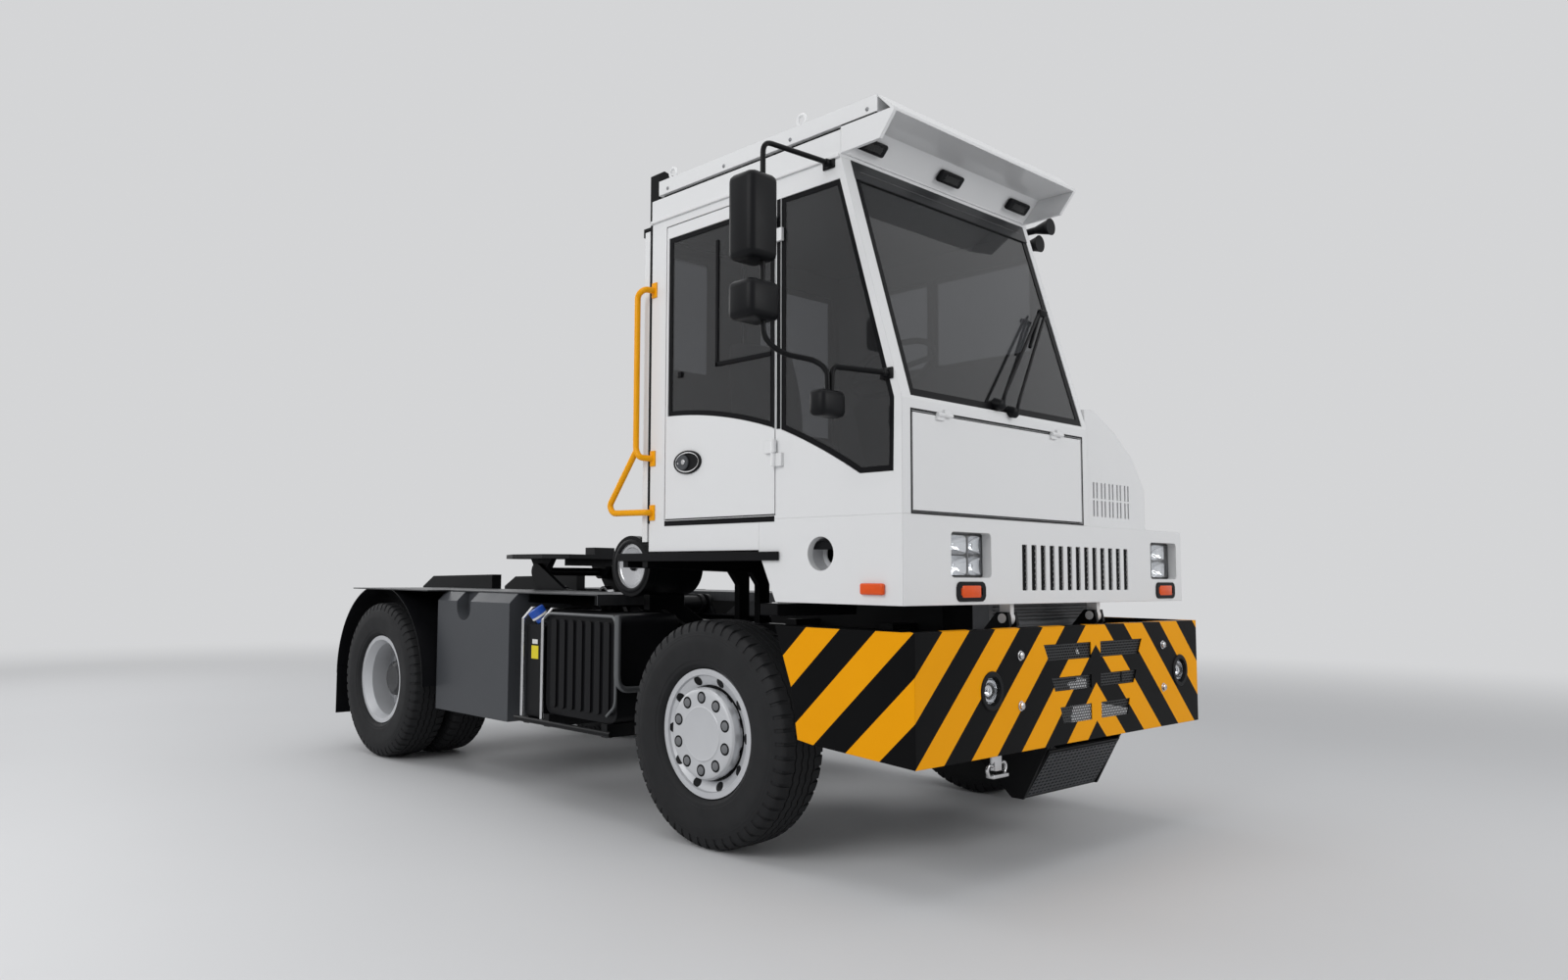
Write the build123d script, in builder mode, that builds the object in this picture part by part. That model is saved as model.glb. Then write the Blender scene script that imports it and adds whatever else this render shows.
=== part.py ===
"""Terminal tractor with a half-width cab, a lifting fifth wheel and twin rear wheels.

Sizes are in millimetres. While the pieces are drawn, x = 0 is the chassis centreline,
y = 0 the front axle and z = 0 the ground. The front faces -Y, and +X is the vehicle's left.
"""
from math import atan2, cos, degrees, radians, sin
import os

from build123d import *

os.makedirs("parts", exist_ok=True)

# Driving sizes
half_width = 1250
wheelbase = 3410
front_end = -1250
rear_end = wheelbase + 890
mirror_out = 1760

# Wheels
tyre_r = 540
tyre_w = 300
rim_flange_r = 305
rim_seat_r = 286
rim_skin = 9
twin_pitch = 345
hub_r = 140
stud_circle_r = 168
stud_count = 10
hand_hole_r = 23
hand_hole_circle_r = 215
axle_z = tyre_r
stub_r = 42
rear_stub_r = 71
fit_gap = 0.3
wheel_x = half_width - tyre_w / 2

# Chassis
rail_x = 430
rail_top = 1030
rail_height = 260
rail_flange = 80
rail_skin = 10
frame_front = -1000
cross_width = 60
cross_positions = (-870, 700, 1350, wheelbase - 1410, wheelbase - 510, wheelbase + 380, rear_end - 70)
deck_top = 1180
deck_skin = 8
deck_front = 1040
deck_rear = wheelbase + 420
deck_inner_x = 440
deck_step_y = wheelbase - 710
deck_narrow_x = 1090
deck_rim = 62
guard_r = 665
guard_skin = 5
guard_inner_x = 620
flap_bottom = 242

ramp_front = wheelbase - 175
ramp_top = 1275

# Bay between the wheels, shared by a ribbed tank, a slim tank and a box
bay_front = tyre_r + 186
bay_rear = wheelbase - guard_r - 10
bay = bay_rear - bay_front
tank_y0 = bay_front
tank_y1 = tank_y0 + round(0.3285 * bay)
slim_tank_y = tank_y1 + 110
box_y1 = bay_rear
box_y0 = box_y1 - round(0.4395 * bay)

# Cab tilt axis
tilt_y = -1120
tilt_z = 1110
tilt_pin_r = 22
ear_skin = 20
ear_gap = 60
step_top = 1402

# Lift cylinders
lift_x = 200
lift_foot_y = wheelbase - 1330
lift_foot_z = 850
lift_head_y = wheelbase - 760
lift_head_z = 1150
lift_pin_r = 24

# Front bumper
bumper_top = 1072
bumper_bottom = 537
bumper_skin = 6
face_centre = 165
fog_spread = 880
fog_z = 812
fog_r = 84

# Cab
cab_half = 1235
cab_front = -1184
cab_bottom = 1176
cab_shelf = 1549
cab_floor = 1410
cab_skin = 34
cab_rear = 419
cab_left = 245
cab_roof = 3118
lower_rear = -477
lower_rear_top = -371
screen_bottom = 2023
screen_lean = 328
screen_rise = 1127
door_front = -476
door_rear = 300
door_bottom = cab_shelf + 17
door_top = cab_roof - 42
glass = 8
seam = 6
hinge_x = -cab_half - 16
hinge_y = door_front - 2
hinge_r = 13
hinge_pin_r = 6
hinge_heights = (1845, 2880)
hatch_axis_y = cab_front - 10
hatch_axis_z = screen_bottom - 49
hatch_hinges = (-980, -80)

# Lifting fifth wheel
boom_y = wheelbase - 1660
boom_z = 1100
boom_pin_r = 35
coupling_y = wheelbase - 610
coupling_z = 1310
coupling_pin_r = 30
plate_top = 1432
plate_half = 450
kingpin_r = 26
running = 0.05

origin_x = (half_width - mirror_out) / 2
origin_y = (front_end + rear_end) / 2


def across(y):
    """Plane with local x, y on X, Z; extruding goes forwards."""
    return Plane((0, y, 0), x_dir=(1, 0, 0), z_dir=(0, -1, 0))


def aside(x):
    """Plane with local x, y on Y, Z; extruding goes to the left."""
    return Plane.YZ.offset(x)


def level(z):
    """Plane with local x, y on X, Y; extruding goes up."""
    return Plane.XY.offset(z)


def finish(piece, node):
    """Move a piece into the frame whose origin is under its middle, and write it."""
    placed = piece.part.moved(Location((-origin_x, -origin_y, 0)))
    placed.label = node
    export_step(placed, f"parts/{node}.step")


# Chassis frame: two channels that open inwards, joined by cross beams
rail_bottom = rail_top - rail_height
frame_length = rear_end - frame_front
with BuildPart() as chassis_frame:
    with BuildSketch(across(rear_end)):
        for side in (-1, 1):
            with Locations((side * (rail_x - rail_flange / 2), rail_top - rail_height / 2)):
                Rectangle(rail_flange, rail_height)
            with Locations((side * (rail_x - rail_flange / 2 - rail_skin), rail_top - rail_height / 2)):
                Rectangle(rail_flange, rail_height - 2 * rail_skin, mode=Mode.SUBTRACT)
    extrude(amount=frame_length)
    cross_height = rail_height - 2 * rail_skin - 40
    with Locations([(0, y, rail_top - rail_height / 2) for y in cross_positions]):
        Box(2 * (rail_x - rail_skin), cross_width, cross_height)
finish(chassis_frame, "chassis_frame")

# Brackets welded to the frame, the first pair for the boom's pivot
with BuildPart() as frame_brackets:
    bracket_x = rail_x - rail_flange + 20
    with BuildSketch(aside(-bracket_x - 30)):
        with BuildLine():
            Polyline((boom_y - 95, rail_top), (boom_y - 50, boom_z), (boom_y + 50, boom_z),
                     (boom_y + 95, rail_top), close=True)
        make_face()
        with Locations((boom_y, boom_z)):
            Circle(62)
    extrude(amount=30)
    with BuildSketch(aside(bracket_x)):
        with BuildLine():
            Polyline((boom_y - 95, rail_top), (boom_y - 50, boom_z), (boom_y + 50, boom_z),
                     (boom_y + 95, rail_top), close=True)
        make_face()
        with Locations((boom_y, boom_z)):
            Circle(62)
    extrude(amount=30)
    with Locations(Location((0, boom_y, boom_z), (0, 90, 0))):
        Cylinder(boom_pin_r + running, 2 * half_width, mode=Mode.SUBTRACT)
    # Struts that carry the side decks, and arms that carry the mudguards
    for side in (-1, 1):
        for y in (deck_front + 60, box_y0 - 72):
            with BuildSketch(across(y + 20)):
                with BuildLine():
                    Polyline((side * rail_x, rail_top - 90), (side * (rail_x + 60), rail_top - 90),
                             (side * 740, 1104), (side * (deck_narrow_x - 40), deck_top - deck_rim),
                             (side * (deck_narrow_x - 40), deck_top - deck_skin),
                             (side * (deck_inner_x + 8), deck_top - deck_skin),
                             (side * (deck_inner_x + 8), rail_top - 20),
                             (side * rail_x, rail_top - 20), close=True)
                make_face()
            extrude(amount=12)
        with BuildSketch(level(deck_top - deck_skin - 50)):
            with Locations((side * (guard_inner_x - 40), wheelbase)):
                Rectangle(50, 700)
        extrude(amount=50)
        with BuildSketch(level(rail_top - 110)):
            with Locations((side * (rail_x + guard_inner_x - 15) / 2, wheelbase)):
                Rectangle(guard_inner_x - 15 - rail_x, 120)
        extrude(amount=60)
        with BuildSketch(level(rail_top - 50)):
            with Locations((side * (guard_inner_x - 40), wheelbase)):
                Rectangle(50, 120)
        extrude(amount=deck_top - deck_skin - 50 - rail_top + 50)
    # Ears that the cab tilts on, one pair at the front end of each rail
    for ear_x in (-rail_x, -rail_x + ear_gap, rail_x - ear_skin, rail_x - ear_skin - ear_gap):
        with BuildSketch(aside(ear_x)):
            with BuildLine():
                Polyline((tilt_y - 40, tilt_z - 30), (tilt_y - 28, tilt_z + 28), (tilt_y + 28, tilt_z + 28),
                         (frame_front, rail_top), (frame_front, rail_top - 100), close=True)
            make_face()
            with Locations((tilt_y, tilt_z)):
                Circle(tilt_pin_r + running, mode=Mode.SUBTRACT)
        extrude(amount=ear_skin)
    # Sloping guides on the rear ends of the rails
    for start_x in (-rail_x, rail_x - rail_flange):
        with BuildSketch(aside(start_x)):
            with BuildLine():
                Polyline((ramp_front, rail_top), (ramp_front, ramp_top + 10), (rear_end - 170, ramp_top - 6),
                         (rear_end, ramp_top - 90), (rear_end, rail_top), close=True)
            make_face()
        extrude(amount=rail_flange)
    # Cantilevers under the cab's step, and the ears of the lift cylinders
    for y in (440, 600):
        with BuildSketch(across(y + 20)):
            with BuildLine():
                Polyline((-rail_x, rail_top), (-rail_x + 80, rail_top), (-rail_x + 80, step_top - 40),
                         (-half_width + 9, step_top - 40), (-half_width + 9, step_top - 72),
                         (-rail_x - 60, step_top - 90), (-rail_x, step_top - 160), close=True)
            make_face()
        extrude(amount=40)
    lift_ear_y = cross_positions[3] + cross_width / 2
    for side in (-1, 1):
        for offset_x in (-72, 54):
            with BuildSketch(aside(side * lift_x + offset_x)):
                with BuildLine():
                    Polyline((lift_ear_y, lift_foot_z - 40), (lift_foot_y + 45, lift_foot_z - 60),
                             (lift_foot_y + 45, lift_foot_z + 30), (lift_foot_y + 20, lift_foot_z + 50),
                             (lift_ear_y, lift_foot_z + 50), close=True)
                make_face()
                with Locations((lift_foot_y, lift_foot_z)):
                    Circle(lift_pin_r + running, mode=Mode.SUBTRACT)
            extrude(amount=18)
finish(frame_brackets, "frame_brackets")

# Side decks: a thin plate each side with its outer rim turned down
with BuildPart() as side_decks:
    for side in (-1, 1):
        with BuildSketch(level(deck_top - deck_skin)):
            with BuildLine():
                Polyline((side * deck_inner_x, deck_front), (side * deck_narrow_x, deck_front),
                         (side * deck_narrow_x, deck_step_y), (side * half_width, deck_step_y),
                         (side * half_width, deck_rear), (side * deck_inner_x, deck_rear), close=True)
            make_face()
        extrude(amount=deck_skin)
        with BuildSketch(level(deck_top - deck_rim)):
            with Locations((side * (deck_inner_x + deck_narrow_x) / 2, deck_front + 4)):
                Rectangle(deck_narrow_x - deck_inner_x, 8)
            with Locations((side * (deck_inner_x + 4), (deck_front + deck_rear) / 2)):
                Rectangle(8, deck_rear - deck_front)
        extrude(amount=deck_rim)
finish(side_decks, "side_decks")

# Rear mudguards: an arc over each pair of wheels, cut off under the deck, with a flap behind
guard_top = deck_top - deck_skin
with BuildPart() as rear_mudguards:
    for side in (-1, 1):
        start_x = -half_width if side < 0 else guard_inner_x
        with BuildSketch(aside(start_x)):
            with Locations((wheelbase, axle_z)):
                Circle(guard_r)
                Circle(guard_r - guard_skin, mode=Mode.SUBTRACT)
            with Locations((wheelbase, axle_z - guard_r)):
                Rectangle(3 * guard_r, 2 * guard_r, mode=Mode.SUBTRACT)
            with Locations((wheelbase, guard_top + guard_r)):
                Rectangle(3 * guard_r, 2 * guard_r, mode=Mode.SUBTRACT)
            with Locations((wheelbase + guard_r - 8, (axle_z + flap_bottom) / 2 + 20)):
                Rectangle(8, axle_z - flap_bottom + 40)
        extrude(amount=half_width - guard_inner_x)
finish(rear_mudguards, "rear_mudguards")

# Front bumper: a folded sheet, open above, below and behind
with BuildPart() as front_bumper:
    with BuildSketch(aside(-half_width)):
        with BuildLine():
            Polyline((front_end, bumper_bottom), (front_end, bumper_top), (-490, bumper_top),
                     (-586, 811), (-625, 586), (-709, 574), close=True)
        make_face()
    extrude(amount=2 * half_width)
    with BuildSketch(level(0)):
        with Locations((0, front_end + bumper_skin + 500)):
            Rectangle(2 * (half_width - bumper_skin), 1000)
    extrude(amount=2000, mode=Mode.SUBTRACT)
    with BuildSketch(level(bumper_top - bumper_skin)):
        with Locations((0, front_end + bumper_skin + 30)):
            Rectangle(2 * (half_width - bumper_skin), 60)
    extrude(amount=bumper_skin)
    window_rows = ((992, 918, 465, 424), (840, 778, 400, 372), (704, 628, 330, 300))
    with BuildSketch(across(front_end + bumper_skin)):
        for top, bottom, wide, narrow in window_rows:
            for side in (-1, 1):
                with BuildLine():
                    Polyline((face_centre + side * 45, top), (face_centre + side * wide, top),
                             (face_centre + side * narrow, bottom), (face_centre + side * 45, bottom),
                             close=True)
                make_face()
        for side in (-1, 1):
            with Locations((face_centre + side * fog_spread, fog_z)):
                Circle(fog_r)
    extrude(amount=bumper_skin, mode=Mode.SUBTRACT)
    for start_x in (-rail_x, rail_x - 15):
        with BuildSketch(aside(start_x)):
            with Locations(((frame_front + front_end + bumper_skin) / 2, 850)):
                Rectangle(frame_front - front_end - bumper_skin, 120)
        extrude(amount=15)
finish(front_bumper, "front_bumper")

# Lower guard: a perforated skid plate on two side plates under the bumper
guard_profile = ((-1190, 500), (-1185, 506), (-1045, 270), (-1050, 264))
with BuildPart() as lower_guard:
    with BuildSketch(aside(face_centre - 330)):
        with BuildLine():
            Polyline(*guard_profile, close=True)
        make_face()
    extrude(amount=660)
    slope = degrees(atan2(500 - 264, 1190 - 1050))
    hole_plane = Plane(origin=(face_centre, -1120, 382), x_dir=(1, 0, 0),
                       z_dir=(0, -sin(radians(slope)), -cos(radians(slope))))
    with BuildSketch(hole_plane):
        with GridLocations(60, 44, 9, 5):
            SlotOverall(40, 20)
    extrude(amount=20, both=True, mode=Mode.SUBTRACT)
    for x in (face_centre - 345, face_centre + 330):
        with BuildSketch(aside(x)):
            with BuildLine():
                Polyline((-1200, 536), (-1060, 536), (-820, 560), (-820, rail_bottom), (-740, rail_bottom),
                         (-740, 500), (-1000, 264), (-1060, 264), close=True)
            make_face()
        extrude(amount=15)
    for side in (-1, 1):
        with BuildSketch(level(rail_bottom - 24)):
            with Locations((face_centre / 2 + side * (rail_x - 45), -780)):
                Rectangle(260, 80)
        extrude(amount=24)
finish(lower_guard, "lower_guard")

# Front axle: a dropped I-beam whose ends carry the kingpins
kingpin_x = 880
kingpin_axle_r = 22
with BuildPart() as front_axle:
    with BuildSketch(across(50)):
        with BuildLine():
            Polyline((-kingpin_x, 600), (-760, 600), (-560, 560), (560, 560), (760, 600), (kingpin_x, 600),
                     (kingpin_x, 480), (740, 480), (540, 440), (-540, 440), (-740, 480),
                     (-kingpin_x, 480), close=True)
        make_face()
    extrude(amount=100)
    for y in (-50, 20):
        with BuildSketch(across(y + 30)):
            with Locations((0, 500)):
                Rectangle(1000, 76)
        extrude(amount=30, mode=Mode.SUBTRACT)
    for side in (-1, 1):
        with Locations((side * kingpin_x, 0, axle_z)):
            Cylinder(52, 120)
            Cylinder(kingpin_axle_r + running, 120, mode=Mode.SUBTRACT)
        with Locations((side * (rail_x - 40), 0, 590)):
            Box(90, 150, 60)
finish(front_axle, "front_axle")

# Leaf springs: a curved pack under each rail with its hangers
spring_top = rail_bottom - 110
with BuildPart() as front_springs:
    for side in (-1, 1):
        with BuildSketch(aside(side * (rail_x - 40) - 38)):
            with BuildLine():
                top = ThreePointArc((-640, spring_top + 60), (0, spring_top - 10), (640, spring_top + 60))
                Line(top @ 1, (640, spring_top + 40))
                ThreePointArc((640, spring_top + 40), (0, spring_top - 40), (-640, spring_top + 40))
                Line((-640, spring_top + 40), top @ 0)
            make_face()
        extrude(amount=76)
        for y in (-640, 640):
            with BuildSketch(aside(side * (rail_x - 40) - 38)):
                with BuildLine():
                    Polyline((y - 60, rail_bottom), (y + 60, rail_bottom), (y + 34, spring_top + 30),
                             (y - 34, spring_top + 30), close=True)
                make_face()
            extrude(amount=76)
finish(front_springs, "front_springs")

# Steering knuckles: a yoke above and below the axle end, and a stub for the wheel
yoke_gap = 6
for side, name in ((-1, "right"), (1, "left")):
    with BuildPart() as knuckle:
        for z in (axle_z + 60 + yoke_gap, axle_z - 60 - yoke_gap - 36):
            with BuildSketch(level(z)):
                with Locations((side * kingpin_x, 0)):
                    Circle(54)
                with Locations((side * (kingpin_x + 50), 0)):
                    Rectangle(100, 90)
            extrude(amount=36)
        with Locations((side * (kingpin_x + 82), 0, axle_z)):
            Box(40, 90, 2 * (60 + yoke_gap + 36))
        with Locations((side * kingpin_x, 0, axle_z)):
            Cylinder(kingpin_axle_r, 2 * (60 + yoke_gap + 18))
        with Locations(Location((side * (kingpin_x + 131), 0, axle_z), (0, 90, 0))):
            Cylinder(stub_r, 138)
        with BuildSketch(level(axle_z - 60 - yoke_gap - 36)):
            with BuildLine():
                Polyline((side * (kingpin_x - 30), 30), (side * (kingpin_x - 90), 210),
                         (side * (kingpin_x - 50), 225), (side * (kingpin_x + 40), 40), close=True)
            make_face()
        extrude(amount=24)
        with Locations(Location((side * (kingpin_x + 96), 0, axle_z), (0, 90, 0))):
            Cylinder(150, 12)
    finish(knuckle, f"steering_knuckle_{name}")

# Wheels. Each is turned from its section; the disc is dished, with hand holes and studs
rim_w = 230


def rim_section(offset):
    """Closed half section of a rim, x along the axle and y the radius, centred on offset."""
    half = rim_w / 2
    Polyline((offset - half, rim_flange_r), (offset - half, rim_seat_r - rim_skin),
             (offset - 60, rim_seat_r - rim_skin - 26), (offset + 60, rim_seat_r - rim_skin - 26),
             (offset + half, rim_seat_r - rim_skin), (offset + half, rim_flange_r),
             (offset + half - 12, rim_flange_r), (offset + half - 12, rim_seat_r),
             (offset + 60, rim_seat_r - 26), (offset - 60, rim_seat_r - 26),
             (offset - half + 12, rim_seat_r), (offset - half + 12, rim_flange_r), close=True)


def wheel_axis(x, y):
    """Axis of a wheel through its centre, pointing to the left."""
    return Axis((x, y, axle_z), (1, 0, 0))


for side, name in ((-1, "right"), (1, "left")):
    with BuildPart() as front_wheel:
        with BuildSketch(Plane((wheel_x * side, 0, axle_z), x_dir=(side, 0, 0), z_dir=(0, -side, 0))):
            with BuildLine():
                rim_section(0)
            make_face()
            with BuildLine():
                Polyline((30, rim_seat_r - 20), (30, 232), (88, 205), (88, 62), (130, 62), (130, 0),
                         (-30, 0), (-30, 120), (70, 120), (70, 196), (14, 226),
                         (14, rim_seat_r - 20), close=True)
            make_face()
        revolve(axis=wheel_axis(wheel_x * side, 0))
        with BuildSketch(aside(side * wheel_x)):
            with Locations((0, axle_z)):
                with PolarLocations(hand_hole_circle_r, stud_count, start_angle=18):
                    Circle(hand_hole_r)
        extrude(amount=side * 100, mode=Mode.SUBTRACT)
        with BuildSketch(aside(side * (wheel_x + 88))):
            with Locations((0, axle_z)):
                with PolarLocations(stud_circle_r, stud_count):
                    RegularPolygon(17, 6)
        extrude(amount=side * 26)
        with Locations(Location((side * (wheel_x - 45), 0, axle_z), (0, 90, 0))):
            Cylinder(stub_r + running, 60, mode=Mode.SUBTRACT)
    finish(front_wheel, f"front_wheel_{name}")

    with BuildPart() as rear_wheel:
        inner = -twin_pitch
        with BuildSketch(Plane((wheel_x * side, wheelbase, axle_z), x_dir=(side, 0, 0),
                               z_dir=(0, -side, 0))):
            with BuildLine():
                rim_section(0)
            make_face()
            with BuildLine():
                rim_section(inner)
            make_face()
            with BuildLine():
                Polyline((-100, rim_seat_r - 4), (-100, 240), (-150, 205), (-162, 205), (-162, 150),
                         (-60, hub_r), (-30, 120), (10, 120), (30, 90), (30, 0), (-240, 0), (-240, 120),
                         (-174, 150), (-186, 205), (-196, 205), (-245, 240), (-245, rim_seat_r - 4),
                         (-231, rim_seat_r - 4), (-231, 244), (-186, 222), (-160, 222),
                         (-114, 244), (-114, rim_seat_r - 4), close=True)
            make_face()
        revolve(axis=wheel_axis(wheel_x * side, wheelbase))
        with BuildSketch(aside(side * (wheel_x - 162))):
            with Locations((wheelbase, axle_z)):
                with PolarLocations(stud_circle_r + 14, stud_count):
                    RegularPolygon(17, 6)
        extrude(amount=side * 40)
        with Locations(Location((side * (wheel_x - 200), wheelbase, axle_z), (0, 90, 0))):
            Cylinder(rear_stub_r + running, 120, mode=Mode.SUBTRACT)
    finish(rear_wheel, f"rear_wheel_{name}")

# Tyres: one turned section, used once in front and twice on each rear wheel
tyre_section = ((-tyre_w / 2, 0.74), (-tyre_w / 2 + 6, 0.9), (-tyre_w / 2 + 24, 0.978), (-tyre_w / 2 + 44, 1.0))


def tyre_outline(offset):
    """Closed half section of a tyre, seated on the rim a small gap off it."""
    right = [(offset - x, tyre_r * share) for x, share in reversed(tyre_section)]
    left = [(offset + x, tyre_r * share) for x, share in tyre_section]
    bead = rim_w / 2 - 12 - fit_gap
    Polyline((offset - bead, rim_seat_r + fit_gap), (offset - bead, rim_flange_r + 6),
             (offset - tyre_w / 2 + 12, rim_flange_r + 14), *left, *right,
             (offset + tyre_w / 2 - 12, rim_flange_r + 14), (offset + bead, rim_flange_r + 6),
             (offset + bead, rim_seat_r + fit_gap), close=True)


for axle_y, axle, offsets in ((0, "front", (0,)), (wheelbase, "rear", (0, -twin_pitch))):
    for side, name in ((-1, "right"), (1, "left")):
        with BuildPart() as tyre:
            with BuildSketch(Plane((wheel_x * side, axle_y, axle_z), x_dir=(side, 0, 0), z_dir=(0, -side, 0))):
                for shift in offsets:
                    with BuildLine():
                        tyre_outline(shift)
                    make_face()
            revolve(axis=wheel_axis(wheel_x * side, axle_y))
        finish(tyre, f"{axle}_tyre_{name}")

# Rear axle: one turned housing with its final drive, bolted to the rails through blocks
axle_half = wheel_x - 142
brake_x = guard_inner_x - 45
axle_steps = ((0, 215), (60, 215), (180, 186), (250, 100), (brake_x - 26, 100), (brake_x - 26, 190),
              (brake_x, 190), (brake_x, rear_stub_r), (axle_half, rear_stub_r), (axle_half, 0))
with BuildPart() as rear_axle:
    with BuildSketch(Plane((0, wheelbase, axle_z), x_dir=(1, 0, 0), z_dir=(0, -1, 0))):
        with BuildLine():
            Polyline(*[(-x, r) for x, r in reversed(axle_steps)], *axle_steps[1:], close=True)
        make_face()
    revolve(axis=Axis((0, wheelbase, axle_z), (1, 0, 0)))
    with BuildSketch(across(wheelbase - 150)):
        with Locations((0, axle_z + 30)):
            Circle(90)
    extrude(amount=120)
    for side in (-1, 1):
        with Locations((side * (rail_x - 40), wheelbase, (rail_bottom + axle_z) / 2)):
            Box(110, 220, rail_bottom - axle_z)
finish(rear_axle, "rear_axle")

# Engine and gearbox block, with the propeller shaft to the rear axle
with BuildPart() as engine_block:
    with Locations((60, -150, 1010)):
        Box(560, 1000, 640)
    fillet(engine_block.edges().filter_by(Axis.Y), radius=40)
    with Locations((20, 470, 900)):
        Box(360, 240, 340)
    for y in (-450, 200):
        with Locations((0, y, rail_top + 15)):
            Box(2 * (rail_x - 20), 80, 30)
    shaft_start, shaft_end = Vector(0, 592, 742), Vector(0, wheelbase - 272, axle_z + 30)
    shaft_line = shaft_end - shaft_start
    shaft_plane = Plane(origin=shaft_start, x_dir=(1, 0, 0), z_dir=shaft_line)
    with Locations((0, 566, 742)):
        Box(120, 60, 70)
    with BuildSketch(shaft_plane.offset(-20)):
        Circle(28)
    extrude(amount=shaft_line.length + 18)
    for start in (0, shaft_line.length - 60):
        with BuildSketch(shaft_plane.offset(start)):
            Circle(32)
        extrude(amount=58)
finish(engine_block, "engine_block")

# Radiator with its core behind a frame, standing on the rails
radiator_top = 1394
radiator_y = -940
with BuildPart() as radiator:
    with Locations((face_centre, radiator_y, (rail_top + radiator_top) / 2)):
        Box(980, 90, radiator_top - rail_top)
    with Locations([(face_centre, radiator_y - 42, z) for z in range(1060, 1370, 24)]):
        Box(920, 12, 12, mode=Mode.SUBTRACT)
finish(radiator, "radiator")

# Lower cab body: the full-width front panel with lamp openings and slots, and its sides
lower_inside = cab_half - cab_skin
panel_centre = 137
lamp_in, lamp_out = 744, 1042
lamp_low, lamp_high = 1292, 1486
lamp_mid = (lamp_low + lamp_high) / 2
lamp_corner = 20
pocket_depth, pocket_skin = 62, 6
lamp_depth = 40
turn_in, turn_out, turn_low, turn_high = 799, 1005, 1191, 1273
turn_mid = (turn_low + turn_high) / 2
slot_count = 13
slot_pitch = 79
slot_width, slot_height, slot_mid = 43, 208, 1340
porthole_y, porthole_z, porthole_r = -745, 1390, 74
with BuildPart() as cab_front_panel:
    with BuildSketch(aside(-cab_half)):
        with BuildLine():
            Polyline((cab_front, cab_bottom), (cab_front, cab_shelf), (lower_rear_top, cab_shelf),
                     (lower_rear_top, 1402), (lower_rear, cab_bottom), close=True)
        make_face()
    extrude(amount=2 * cab_half)
    with BuildSketch(level(0)):
        with Locations((0, cab_front + cab_skin + 500)):
            Rectangle(2 * lower_inside, 1000)
    extrude(amount=2000, mode=Mode.SUBTRACT)
    with BuildSketch(level(cab_shelf - 20)):
        with Locations(((cab_left + lower_inside) / 2, (cab_front + cab_skin + lower_rear_top) / 2)):
            Rectangle(lower_inside - cab_left, lower_rear_top - cab_front - cab_skin)
        with Locations(((cab_left + 880) / 2, (cab_front + lower_rear_top) / 2 + 40)):
            Rectangle(880 - cab_left - 80, lower_rear_top - cab_front - 280, mode=Mode.SUBTRACT)
    extrude(amount=20)
    with BuildSketch(across(cab_front + cab_skin)):
        for side in (-1, 1):
            with Locations((panel_centre + side * (lamp_in + lamp_out) / 2, lamp_mid)):
                RectangleRounded(lamp_out - lamp_in, lamp_high - lamp_low, lamp_corner)
            with Locations((panel_centre + side * (turn_in + turn_out) / 2, turn_mid)):
                RectangleRounded(turn_out - turn_in, turn_high - turn_low, lamp_corner)
        with Locations((panel_centre, slot_mid)):
            with GridLocations(slot_pitch, 0, slot_count, 1):
                RectangleRounded(slot_width, slot_height, 5)
    extrude(amount=cab_skin, mode=Mode.SUBTRACT)
    with BuildSketch(aside(-cab_half)):
        with Locations((porthole_y, porthole_z)):
            Circle(porthole_r)
    extrude(amount=cab_skin, mode=Mode.SUBTRACT)
    # Pockets behind the lamp openings, which the lamps close at the back
    for side in (-1, 1):
        with BuildSketch(across(cab_front + cab_skin)):
            with Locations((panel_centre + side * (lamp_in + lamp_out) / 2, lamp_mid)):
                RectangleRounded(lamp_out - lamp_in + 2 * pocket_skin, lamp_high - lamp_low + 2 * pocket_skin,
                                 lamp_corner + pocket_skin)
                RectangleRounded(lamp_out - lamp_in, lamp_high - lamp_low, lamp_corner, mode=Mode.SUBTRACT)
        extrude(amount=-(pocket_depth - cab_skin))
    # Flange along the lower edge, with arms that reach down to the tilt pins
    bar_deep, bar_tall = 60, 12
    with Locations((0, cab_front + cab_skin + bar_deep / 2, cab_bottom + bar_tall / 2)):
        Box(2 * lower_inside, bar_deep, bar_tall)
    for side in (-1, 1):
        pin_x = side * (rail_x - (ear_gap + ear_skin) / 2)
        with BuildSketch(aside(pin_x - 15)):
            with BuildLine():
                Polyline((tilt_y - 28, tilt_z), (tilt_y - 28, cab_bottom + 4), (tilt_y + 28, cab_bottom + 4),
                         (tilt_y + 28, tilt_z), close=True)
            make_face()
            with Locations((tilt_y, tilt_z)):
                Circle(34)
        extrude(amount=30)
        with Locations(Location((pin_x, tilt_y, tilt_z), (0, 90, 0))):
            Cylinder(tilt_pin_r, ear_gap + ear_skin)
finish(cab_front_panel, "cab_front_panel")

# Cab shell: walls and roof in one, with the door, window and hatch openings cut
def screen_y(z):
    """Where the leaning windscreen plane is at a height."""
    return cab_front + screen_lean * (z - screen_bottom) / screen_rise


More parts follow.
